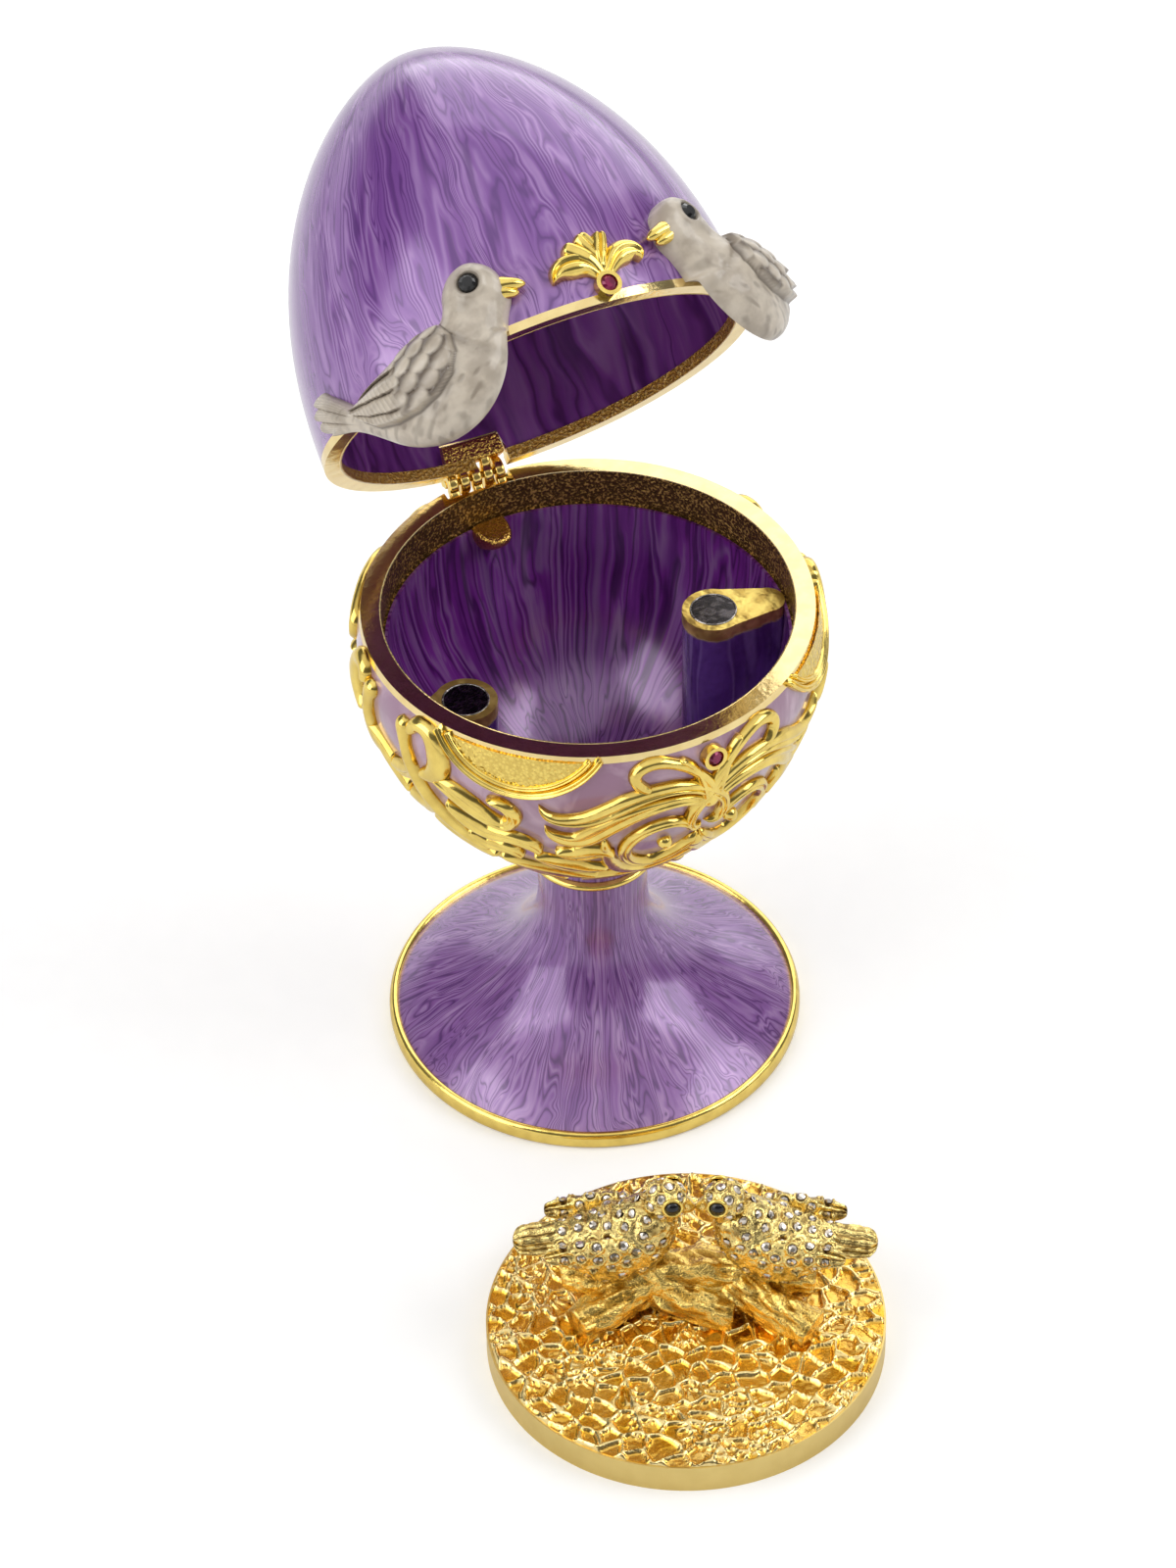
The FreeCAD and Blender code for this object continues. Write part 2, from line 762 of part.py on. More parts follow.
def dove_eye_closed(body, turn, rise):
    """A jet cabochon let into the head as far as it stands proud."""
    spot, outward = lid_spot(dove_eye_angle + turn, dove_eye_height + rise)
    ray = Part.makeLine(spot, spot + outward * dove_length)
    inside = body.common(ray)
    surface = spot + outward * max((vertex.Point - spot).dot(outward) for vertex in inside.Vertexes)
    return Part.makeSphere(dove_eye_radius, surface - outward * (dove_eye_radius - 2 * dove_eye_stand))


def dove_beak_closed(body, turn, rise):
    spot, outward = lid_spot(dove_beak_angle + turn, dove_beak_height + rise)
    level = UP.cross(outward).normalize()
    upward = outward.cross(level)
    lean = math.radians(dove_beak_lean)
    ahead = level * math.cos(lean) + upward * math.sin(lean)
    root = spot + outward * (dove_relief / 4) - ahead * (dove_beak_length / 3)
    cone = Part.makeCone(dove_beak_radius, dove_beak_tip_radius, dove_beak_length * 4 / 3, root, ahead)
    return single(cone.cut(body).cut(lid_keep_out()))


# Leaves of the spray above the lid's stone: angle and height of the middle, half sizes, lean.
fleur_leaf_shares = (
    (-6.6, 0.400, 0.330, 0.150, 0.150, 158),
    (6.6, 0.400, 0.330, 0.150, 0.150, 22),
    (-3.6, 0.720, 0.400, 0.140, 0.160, 122),
    (3.6, 0.720, 0.400, 0.140, 0.160, 58),
    (-1.1, 0.860, 0.440, 0.120, 0.190, 96),
    (1.3, 0.860, 0.440, 0.120, 0.190, 82),
)
fleur_base_share = 0.1


def fleur_spray_closed():
    leaves = []
    for angle, height, a, b, c, lean in fleur_leaf_shares:
        sizes = [fleur_length * share for share in (a, b, c)]
        level = lid_stone_height + fleur_length * (height - fleur_base_share)
        leaves.append(relief_ball(front_angle + angle, level, sizes, lean))
    spot, outward = lid_spot(front_angle, lid_stone_height)
    clear = rod(stone_radius + bezel_wall, dove_length, spot - outward * (dove_length / 2), outward)
    return fused(leaves).cut(lid_solid()).cut(clear)


def opened(shape):
    """The lid's pieces stand open, turned back about the hinge pin."""
    placed = shape.copy()
    placed.rotate(hinge_point, hinge_axis, -open_angle)
    return placed


# Hinge

def knuckle_span(index):
    """Start and width of a knuckle along the pin."""
    total = knuckle_count * knuckle_width + (knuckle_count - 1) * knuckle_gap
    return -total / 2 + index * (knuckle_width + knuckle_gap)


def hinge_leaf(sense, indices, bore):
    """Leaf plate in the wall's notch, with a bar from the plate to each of its knuckles."""
    side = Vector(1, 0, 0)
    low = closing_gap / 2 + knuckle_radius
    plate_height = notch_depth - low
    plate_z = low if sense > 0 else -notch_depth
    pieces = [Part.makeBox(2 * leaf_half_width, leaf_thickness, plate_height,
                           Vector(-leaf_half_width, -leaf_reach - pin_offset, plate_z))]
    for index in indices:
        start = knuckle_span(index)
        pieces.append(rod(knuckle_radius, knuckle_width, Vector(start, 0, 0), side))
        bar = [Vector(start, 0, sense * knuckle_radius), Vector(start, -knuckle_radius, 0),
               Vector(start, -leaf_reach - pin_offset, sense * low),
               Vector(start, -leaf_reach - pin_offset + leaf_thickness, sense * (low + plate_height / 2))]
        pieces.append(Part.Face(Part.makePolygon(bar + [bar[0]])).extrude(side * knuckle_width))
    whole = fused(pieces)
    hole = rod(bore, 4 * leaf_half_width, Vector(-2 * leaf_half_width, 0, 0), side)
    return single(whole.cut(hole))


def hinge_pin():
    half = -knuckle_span(0) + pin_overhang
    return at_hinge(rod(pin_radius, 2 * half, Vector(-half, 0, 0), Vector(1, 0, 0)))


# Insert, drawn about its own centre and then set down in front of the foot

def set_down(shape):
    placed = shape.copy()
    placed.rotate(ORIGIN, UP, insert_angle)
    placed.translate(Vector(insert_x, insert_y, 0))
    return placed


def insert_tray():
    """Gilt dish with a plain side band, hollow underneath, and a boss over each magnet."""
    disc = rod(insert_radius, insert_height, ORIGIN)
    under = rod(insert_radius - insert_wall, insert_height - insert_deck, ORIGIN)
    bosses = []
    discs = []
    for x, y in ((left_post_x, left_post_y), (right_post_x, right_post_y)):
        bosses.append(rod(catch_disc_radius + catch_boss_wall, insert_height - insert_deck, Vector(x, y, 0)))
        discs.append(rod(catch_disc_radius, catch_disc_thickness, Vector(x, y, 0)))
    return single(disc.cut(under.cut(fused(bosses))).cut(fused(discs)))


def catch_disc(x, y):
    return rod(catch_disc_radius, catch_disc_thickness, Vector(x, y, 0))


# Perch limbs: shares of the span along, back and up from the deck, and of the perch's radius.
perch_limb_shares = (
    ((-0.470, 0.135, 0.106, 0.65), (-0.300, 0.115, 0.140, 0.90), (-0.100, 0.100, 0.148, 1.00),
     (0.100, 0.100, 0.148, 1.00), (0.300, 0.095, 0.140, 0.92), (0.500, 0.085, 0.110, 0.68)),
    ((-0.130, 0.090, 0.138, 0.90), (-0.260, 0.010, 0.095, 0.88), (-0.420, -0.100, 0.062, 0.80)),
    ((0.180, 0.080, 0.138, 0.90), (0.320, -0.020, 0.095, 0.88), (0.490, -0.140, 0.060, 0.80)),
    ((-0.180, 0.110, 0.132, 0.80), (0.000, 0.020, 0.085, 0.90), (0.190, -0.020, 0.060, 0.80)),
)


def perch():
    """Gnarled branch across the dish with sawn stubs towards the front, seated on the deck."""
    limbs = []
    for limb_shares in perch_limb_shares:
        points = []
        radii = []
        for along, back, up, thick in limb_shares:
            points.append(Vector(perch_span * along, perch_span * back, insert_height + perch_span * up))
            radii.append(perch_radius * thick)
        limbs.append(limb(points, radii))
    deck = rod(insert_radius, insert_height, ORIGIN)
    return single(fused(limbs).cut(deck))


# Lovebird facing +X, from its tail to inside its head: shares of its length for the place of each
# oval, half its width and half its height. Places run from the beak's tip at zero back along -X
# and up from the head's middle.
lovebird_back_shares = (
    (-1.040, -0.295, 0.085, 0.036),
    (-0.930, -0.290, 0.108, 0.055),
    (-0.800, -0.288, 0.118, 0.088),
    (-0.640, -0.290, 0.165, 0.150),
    (-0.490, -0.285, 0.203, 0.196),
    (-0.360, -0.225, 0.192, 0.190),
    (-0.262, -0.125, 0.148, 0.152),
    (-0.190, -0.030, 0.110, 0.112),
)
# Each folded wing, the same way: from its tip to the shoulder.
lovebird_wing_shares = (
    (-0.860, -0.215, 0.020, 0.040),
    (-0.720, -0.205, 0.045, 0.095),
    (-0.560, -0.200, 0.058, 0.125),
    (-0.420, -0.195, 0.050, 0.105),
    (-0.330, -0.185, 0.020, 0.050),
)
lovebird_wing_spread_share = 0.165
lovebird_beak_share = 0.115
lovebird_head_share = -0.165
lovebird_eye_shares = (-0.150, 0.010, 0.105)


def bird_point(along, up, sideways=0):
    return Vector(bird_length * along, bird_length * sideways, bird_head_height + bird_length * up)


def lovebird_form(shares, sideways=0):
    points = [bird_point(along, up, sideways) for along, up, width, height in shares]
    half_widths = [bird_length * width for along, up, width, height in shares]
    half_heights = [bird_length * height for along, up, width, height in shares]
    return oval_limb(points, half_widths, half_heights)


def lovebird_body():
    """Back, round head, short beak and two folded wings in one casting."""
    forms = [lovebird_form(lovebird_back_shares)]
    for side in (-1, 1):
        forms.append(lovebird_form(lovebird_wing_shares, side * lovebird_wing_spread_share))
    forms.append(Part.makeSphere(bird_head_radius, bird_point(lovebird_head_share, 0)))
    beak_length = bird_length * lovebird_beak_share
    root = bird_point(0, 0) - Vector(beak_length, 0, 0)
    forms.append(Part.makeCone(bird_head_radius / 2, bird_eye_radius / 4, beak_length, root, Vector(1, 0, 0)))
    return fused(forms)


def lovebird_eyes():
    along, up, spread = lovebird_eye_shares
    return [Part.makeSphere(bird_eye_radius, bird_point(along, up, side * spread)) for side in (-1, 1)]


# Rows of stones along the back and sides: row angle from the top, first and last place, and the
# egg form that spreads them: its middle, its half sizes and its pitch in degrees.
crystal_row_angles = (-100, -70, -40, -12, 16, 44, 72, 100)
crystals_in_row = 5
crystal_row_start_share = -0.74
crystal_row_end_share = -0.32
crystal_guide_shares = (-0.480, -0.280, 0.310, 0.205, 0.200)
crystal_guide_pitch = 22


def crystal_spots():
    """Places round the bird's back where the rows of small stones sit."""
    along, up, a, b, c = crystal_guide_shares
    pitch = math.radians(crystal_guide_pitch)
    ahead = Vector(math.cos(pitch), 0, math.sin(pitch))
    top = Vector(-math.sin(pitch), 0, math.cos(pitch))
    centre = bird_point(along, up)
    spots = []
    for row, angle in enumerate(crystal_row_angles):
        turn = math.radians(angle)
        for number in range(crystals_in_row):
            step = (number + (row % 2) / 2) / crystals_in_row
            reach = crystal_row_start_share + (crystal_row_end_share - crystal_row_start_share) * step
            run = (reach - along) / a
            if abs(run) < 1:
                ring = math.sqrt(1 - run * run)
                out = Vector(0, 1, 0) * (b * math.sin(turn)) + top * (c * math.cos(turn))
                spots.append(centre + ahead * (bird_length * a * run) + out * (bird_length * ring))
    return centre, spots


def crystal_group(body):
    """Small round stones, each sunk in the gilt skin; those that the wing covers are left out."""
    centre, spots = crystal_spots()
    stones = []
    for spot in spots:
        outward = (spot - centre).normalize()
        ray = Part.makeLine(centre, centre + outward * bird_length)
        reach = max((vertex.Point - centre).dot(outward) for vertex in body.common(ray).Vertexes)
        stones.append(Part.makeSphere(crystal_radius, centre + outward * (reach - crystal_sink + crystal_radius / 2)))
    return stones


def on_perch(shape, facing_right):
    """Bring a bird to the dish's bird line, beak to beak with the other."""
    placed = shape.copy()
    if not facing_right:
        placed = placed.mirror(ORIGIN, Vector(1, 0, 0))
    placed.translate(Vector(beak_meeting, bird_line_depth, 0))
    return placed


def write(name, shape):
    shape.exportStep(os.path.join("parts", name + ".step"))
    box = shape.BoundBox
    print(name, len(shape.Solids), "solids", round(shape.Volume, 1), "mm3", shape.isValid(),
          [round(n, 1) for n in (box.XMin, box.YMin, box.ZMin, box.XMax, box.YMax, box.ZMax)])


def write_stand():
    write("foot_casting", foot_casting())
    write("foot_enamel", foot_enamel())
    write("foot_base_plate", foot_base_plate())
    write("stem_screw", stem_screw())
    write("neck_collar", neck_collar())
    write("neck_band_enamel", neck_band_enamel())


def write_cup():
    write("cup_casting", cup_casting())
    write("cup_outer_enamel", cup_outer_enamel())
    write("cup_inner_enamel", cup_inner_enamel())
    for name, x, y in (("left", left_post_x, left_post_y), ("right", right_post_x, right_post_y)):
        write("magnet_post_" + name, magnet_post(x, y))
        write("cup_magnet_" + name, cup_magnet(x, y))
    write("hinge_side_rest", hinge_side_rest())
    write("cup_scrollwork", cup_scrollwork())
    write("scroll_beads", scroll_beads())
    write("lunette_left", lunette(-1))
    write("lunette_right", lunette(1))
    spot, outward = cup_spot(front_angle, cup_stone_depth / cup_height)
    write("cup_stone_bezel", stone_setting(spot, outward))
    write("cup_ruby", stone(spot, outward))
    write("cup_hinge_leaf", at_hinge(hinge_leaf(-1, (0, 2, 4), pin_radius)))
    write("hinge_pin", hinge_pin())


def write_lid():
    write("lid_casting", opened(lid_casting()))
    write("lid_outer_enamel", opened(lid_outer_enamel()))
    write("lid_inner_enamel", opened(lid_inner_enamel()))
    write("lid_hinge_leaf", opened(at_hinge(hinge_leaf(1, (1, 3), pin_radius + pin_running_clearance))))
    mirror_normal = Vector(math.cos(math.radians(front_angle)), math.sin(math.radians(front_angle)), 0)
    for side, (turn, rise) in dove_places.items():
        body = dove_closed(turn, rise)
        eye = dove_eye_closed(body, turn, rise)
        beak = dove_beak_closed(body, turn, rise)
        for name, shape in (("dove", single(body.cut(eye))), ("dove_eye", eye), ("dove_beak", beak)):
            placed = shape if side == "left" else shape.mirror(ORIGIN, mirror_normal)
            write(name + "_" + side, opened(placed))
    write("fleur_spray", opened(fleur_spray_closed()))
    spot, outward = lid_spot(front_angle, lid_stone_height)
    write("lid_stone_bezel", opened(stone_setting(spot, outward)))
    write("lid_ruby", opened(stone(spot, outward)))


def write_insert():
    write("insert_tray", set_down(insert_tray()))
    write("catch_disc_left", set_down(catch_disc(left_post_x, left_post_y)))
    write("catch_disc_right", set_down(catch_disc(right_post_x, right_post_y)))
    branch = perch()
    write("perch", set_down(branch))
    body = lovebird_body()
    eyes = lovebird_eyes()
    stones = crystal_group(body)
    for name, facing_right in (("left", True), ("right", False)):
        seated = single(on_perch(body, facing_right).cut(branch))
        write("lovebird_" + name, set_down(seated))
        write("lovebird_eyes_" + name, set_down(on_perch(Part.makeCompound(eyes), facing_right)))
        write("crystals_" + name, set_down(on_perch(Part.makeCompound(stones), facing_right)))


def main():
    os.makedirs("parts", exist_ok=True)
    write_stand()
    write_cup()
    write_lid()
    write_insert()


main()
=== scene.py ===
# %% [markdown]
# # An enamelled egg box with two doves
#
# The real object is a jeweller's box: a gilt casting, enamelled in violet, on a trumpet foot.
# Its lid stands open on a hinge, and the dish with two lovebirds lies in front of the foot.
# The CAD model gives every piece its exact place. This script dresses it: pieces that are
# seen close up get a finer surface, and every piece gets a finish made of shader nodes.
#
# First the frame is loaded. Dressing may not make the object bigger.

# %% Load the frame
import json
import math

import bpy
import numpy as np
from mathutils import Matrix, Vector


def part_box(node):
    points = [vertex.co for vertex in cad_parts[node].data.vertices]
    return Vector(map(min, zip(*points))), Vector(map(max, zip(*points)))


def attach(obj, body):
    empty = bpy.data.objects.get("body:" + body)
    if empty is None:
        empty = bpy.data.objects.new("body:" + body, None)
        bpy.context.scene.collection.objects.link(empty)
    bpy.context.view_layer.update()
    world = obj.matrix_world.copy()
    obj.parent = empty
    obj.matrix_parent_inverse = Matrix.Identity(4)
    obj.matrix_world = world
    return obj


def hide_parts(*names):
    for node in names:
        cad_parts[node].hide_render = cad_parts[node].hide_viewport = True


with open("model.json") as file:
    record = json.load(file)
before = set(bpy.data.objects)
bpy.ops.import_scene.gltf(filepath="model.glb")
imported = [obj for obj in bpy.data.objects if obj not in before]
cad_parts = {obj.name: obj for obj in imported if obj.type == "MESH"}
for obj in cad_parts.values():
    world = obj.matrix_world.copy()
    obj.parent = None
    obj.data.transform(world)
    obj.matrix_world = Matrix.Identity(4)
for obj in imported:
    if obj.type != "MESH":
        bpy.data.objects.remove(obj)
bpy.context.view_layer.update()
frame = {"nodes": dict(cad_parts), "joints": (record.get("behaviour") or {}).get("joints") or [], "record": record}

# %% [markdown]
# Shapes are worked out in millimetres, as a maker measures them, and become metres only when
# they enter a mesh. The sizes come from the CAD nodes' boxes, so a change there moves the
# dressing with it.

# %% Sizes from the frame
MILLIMETRE = 0.001


def span(node):
    """A CAD node's lowest and highest corner in millimetres."""
    low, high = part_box(node)
    return np.array(low) / MILLIMETRE, np.array(high) / MILLIMETRE


cup_low, cup_high = span("cup_casting")
rim_radius = 30.0
rim_z = cup_high[2]
collar_z = span("neck_collar")[0][2]
band_z = cup_low[2]
cup_z = span("cup_outer_enamel")[0][2]
cup_height = rim_z - cup_z
foot_radius = span("foot_casting")[1][0]
deck_z = span("insert_tray")[1][2]
dish_low, dish_high = span("insert_tray")
dish_centre = (dish_low + dish_high) / 2
dish_radius = (dish_high[0] - dish_low[0]) / 2
dish_turn = math.radians(-29.8)
closing_gap = 0.2
lid_rim_z = rim_z + closing_gap
enamel = 0.4
print("rim at", rim_z, "collar at", collar_z, "dish", dish_centre, dish_radius)

# %% [markdown]
# The lid is easiest to draw closed, as a plain egg end about the axis, and then to turn open
# about the hinge pin. The record says where the pin is and how far the lid turns, and the frame
# shows it at the open end of that range.

# %% Open the lid about its pin
hinge = next(joint for joint in frame["joints"] if joint["name"] == "lid_hinge")
pin_point = Vector(hinge["pos_m"]) / MILLIMETRE
pin_axis = Vector(hinge["axis"]).normalized()
open_angle = math.radians(max(hinge["range_deg"]))
opening = Matrix.Rotation(-open_angle, 3, pin_axis)
closing = Matrix.Rotation(open_angle, 3, pin_axis)


def opened(points):
    """Points of the closed lid, turned back about the pin: p' = pin + R (p - pin)."""
    turn = np.array(opening)
    centre = np.array(pin_point)
    return (points - centre) @ turn.T + centre


print("lid turned back by", math.degrees(open_angle), "degrees")

# %% [markdown]
# Every new surface here is a stack of closed loops of points: rings round a body, or sections
# along a ribbon. Joining each loop to the next gives quads. Where a loop shrinks to a point the
# doubled vertices are welded, so poles and seams are closed, and a face that loses a corner
# becomes a triangle. The signed volume tells whether the skin faces outwards.

# %% Meshes from stacks of loops
WELD = 1e-5


def loop_faces(rows, columns, ring):
    """Quads between neighbouring loops; a ring also joins its last loop to its first."""
    row = np.arange(rows if ring else rows - 1)[:, None]
    column = np.arange(columns)[None, :]
    here, after = row * columns, (row + 1) % rows * columns
    right = (column + 1) % columns
    corners = [here + column, here + right, after + right, after + column]
    return np.stack(corners, -1).reshape(-1, 4)


def welded(points, quads):
    """Merge equal points; keep quads with four corners left and triangles with three."""
    _, first, place = np.unique(np.round(points / WELD).astype(np.int64), axis=0,
                                return_index=True, return_inverse=True)
    corners = place.reshape(-1)[quads]
    repeated = corners == np.roll(corners, -1, axis=1)
    count = repeated.sum(axis=1)
    triangles = corners[count == 1][~repeated[count == 1]].reshape(-1, 3)
    return first, corners[count == 0], triangles


def signed_volume(points, quads, triangles):
    """Sum of the tetrahedra from the origin to every face: positive when faces look out."""
    parts = np.concatenate([quads[:, [0, 1, 2]], quads[:, [0, 2, 3]], triangles])
    a, b, c = (points[parts[:, k]] - points.mean(axis=0) for k in range(3))
    return np.einsum("ij,ij->", a, np.cross(b, c)) / 6


class Shell:
    """One closed skin: loops (rows, columns, 3), closed at both ends or joined in a ring."""

    def __init__(self, loops, ring=False, shade=None):
        loops = np.asarray(loops, float)
        shade = np.zeros(loops.shape[:2]) if shade is None else np.asarray(shade, float)
        if not ring:
            tips = [np.repeat(loops[k].mean(axis=0)[None, None], loops.shape[1], axis=1) for k in (0, -1)]
            loops = np.concatenate([tips[0], loops, tips[1]])
            shade = np.concatenate([shade[:1], shade, shade[-1:]])
        points = loops.reshape(-1, 3)
        first, self.quads, self.triangles = welded(points, loop_faces(*loops.shape[:2], ring))
        self.points = points[first]
        self.shade = shade.reshape(-1)[first]
        self.face_out()

    def face_out(self):
        """Turn every face over where the volume that they enclose comes out negative."""
        if signed_volume(self.points, self.quads, self.triangles) < 0:
            self.quads, self.triangles = self.quads[:, ::-1], self.triangles[:, ::-1]

    def moved(self, place):
        """The same skin with its points passed through a function of points."""
        self.points = place(self.points)
        self.face_out()
        return self


def piece(name, shells, body, finish, nodes=(), crease=40):
    """One Blender object from closed skins, riding on a body and standing for CAD nodes. Edges
    that bend by more than crease, in degrees, stay sharp."""
    counts = np.cumsum([0] + [len(shell.points) for shell in shells])
    points = np.concatenate([shell.points for shell in shells]) * MILLIMETRE
    quads = np.concatenate([shell.quads + start for shell, start in zip(shells, counts)])
    triangles = np.concatenate([shell.triangles + start for shell, start in zip(shells, counts)])
    corners = np.concatenate([quads.reshape(-1), triangles.reshape(-1)]).astype(np.int32)
    sizes = np.concatenate([np.full(len(quads), 4), np.full(len(triangles), 3)]).astype(np.int32)
    mesh = bpy.data.meshes.new(name)
    mesh.vertices.add(len(points))
    mesh.vertices.foreach_set("co", points.astype(np.float32).reshape(-1))
    mesh.loops.add(len(corners))
    mesh.loops.foreach_set("vertex_index", corners)
    mesh.polygons.add(len(sizes))
    mesh.polygons.foreach_set("loop_start", np.concatenate([[0], np.cumsum(sizes)[:-1]]).astype(np.int32))
    mesh.polygons.foreach_set("use_smooth", np.ones(len(sizes), bool))
    mesh.update(calc_edges=True)
    # Painted shade, and the doves' brush strokes, kept per point for the finishes to read.
    shade = mesh.attributes.new("painted_shade_and_brush_strokes", "FLOAT", "POINT")
    shade.data.foreach_set("value", np.concatenate([shell.shade for shell in shells]).astype(np.float32))
    mesh.validate()
    mesh.set_sharp_from_angle(angle=math.radians(crease))
    made = bpy.data.objects.new(name, mesh)
    bpy.context.scene.collection.objects.link(made)
    made.data.materials.append(finish)
    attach(made, body)
    if nodes:
        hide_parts(*nodes)
    print(name, len(points), "vertices,", 2 * len(quads) + len(triangles), "triangles")
    return made


# %% [markdown]
# Two helpers do most of the drawing. A natural cubic spline passes smoothly through a few
# chosen points, and value noise gives bark and hammer marks the same unevenness each run.

# %% A smooth curve and a repeatable noise
def smooth(knots, values, where):
    """Natural cubic spline: second slopes M solve the usual three-term equations, then each
    stretch is the cubic that its two end values and end second slopes fix."""
    knots, values, where = (np.asarray(a, float) for a in (knots, values, where))
    flat = values.reshape(len(knots), -1)
    gap = np.diff(knots)
    system = np.eye(len(knots))
    right = np.zeros_like(flat)
    inner = np.arange(1, len(knots) - 1)
    system[inner, inner - 1] = gap[:-1] / 6
    system[inner, inner] = (gap[:-1] + gap[1:]) / 3
    system[inner, inner + 1] = gap[1:] / 6
    slope = np.diff(flat, axis=0) / gap[:, None]
    right[inner] = np.diff(slope, axis=0)
    bend = np.linalg.solve(system, right)
    at = np.clip(np.searchsorted(knots, where) - 1, 0, len(knots) - 2)
    h = gap[at][:, None]
    a = (knots[at + 1] - where)[:, None]
    b = (where - knots[at])[:, None]
    result = (bend[at] * a ** 3 + bend[at + 1] * b ** 3) / (6 * h)
    result += (flat[at] / h - bend[at] * h / 6) * a + (flat[at + 1] / h - bend[at + 1] * h / 6) * b
    return result.reshape(where.shape + values.shape[1:])


def distances(points):
    """How far along the points each one lies: 0, then the sum of the steps so far."""
    return np.concatenate([[0], np.cumsum(np.linalg.norm(np.diff(points, axis=0), axis=1))])


def through(points, count):
    """count places along a smooth curve through points, spaced by the points' own distances."""
    points = np.asarray(points, float)
    knots = distances(points)
    return smooth(knots, points, np.linspace(0, knots[-1], count))


def chance(cells, seed):
    """A fixed pseudo-random number from 0 to 1 for each whole-numbered cell."""
    mixed = np.sin(cells @ np.array([127.1, 311.7, 74.7]) + seed * 19.19) * 43758.5453
    return mixed - np.floor(mixed)


def noise(points, cell, seed=0):
    """Value noise from -1 to 1: corner values of a lattice of cells, eased between corners."""
    scaled = np.asarray(points, float) / cell
    base = np.floor(scaled)
    ease = scaled - base
    ease = ease * ease * (3 - 2 * ease)
    total = np.zeros(base.shape[:-1])
    for corner in np.ndindex(2, 2, 2):
        offset = np.array(corner)
        weight = np.prod(np.where(offset, ease, 1 - ease), axis=-1)
        total += weight * chance(base + offset, seed)
    return total * 2 - 1


# %% [markdown]
# A few small shapes of numbers come back all the time: a bell, an eased step, a quarter circle
# for rounded ends, the angles of a full turn, directions of length 1, and points put together
# from their x, y and z.

# %% Bells, steps and turns
def bump_in(distance, width):
    """1 at zero distance, falling as a bell to nothing beyond a few widths."""
    return np.exp(-(np.asarray(distance) / width) ** 2)


def step_up(value, low, high):
    """0 below low, 1 above high, eased between."""
    share = np.clip((np.asarray(value) - low) / (high - low), 0, 1)
    return share * share * (3 - 2 * share)


def quarter(share):
    """A quarter circle: 0 at 0 and upright there, 1 from 1 on."""
    return np.sqrt(1 - (1 - np.clip(share, 0, 1)) ** 2)


def full_turn(count):
    """count angles evenly round a full turn, from 0."""
    return np.linspace(0, 2 * np.pi, count, endpoint=False)


def unit(ways):
    """The same directions, each divided by its length."""
    return ways / np.linalg.norm(ways, axis=-1, keepdims=True)


def stacked(*parts):
    """Points from their x, y and z, each spread over the shape that all three share."""
    return np.stack(np.broadcast_arrays(*parts), -1)


# %% [markdown]
# Shader nodes read badly as long lists of links. Here one small class stands for a socket, so
# that `1 - mask` adds the Math node for it, and one method adds any other node with its
# settings and inputs. What varies over a surface only ever feeds colour, roughness, metallic,
# coat, alpha, emission colour, bump or a mix, because those can be baked into an export.

# %% Shader maths as Python expressions
class Wire:
    """An output socket of a finish, with Python's operators."""

    def __init__(self, finish, socket):
        self.finish = finish
        self.socket = socket

    def maths(self, operation, *others, swapped=False):
        """The Math node of that operation on this socket and the others."""
        terms = [self, *others]
        if swapped:
            terms.reverse()
        return self.finish.node("ShaderNodeMath", {"operation": operation}, dict(enumerate(terms)))

    def __add__(self, other):
        return self.maths("ADD", other)

    def __radd__(self, other):
        return self.maths("ADD", other, swapped=True)

    def __sub__(self, other):
        return self.maths("SUBTRACT", other)

    def __rsub__(self, other):
        return self.maths("SUBTRACT", other, swapped=True)

    def __mul__(self, other):
        return self.maths("MULTIPLY", other)

    def __rmul__(self, other):
        return self.maths("MULTIPLY", other, swapped=True)

    def __truediv__(self, other):
        return self.maths("DIVIDE", other)

    def __rtruediv__(self, other):
        return self.maths("DIVIDE", other, swapped=True)

    def __pow__(self, other):
        return self.maths("POWER", other)

    def ramp(self, low, high):
        """0 below low, 1 above high, eased between."""
        return self.finish.node("ShaderNodeMapRange", {"interpolation_type": "SMOOTHSTEP"},
                                {"Value": self, "From Min": low, "From Max": high})


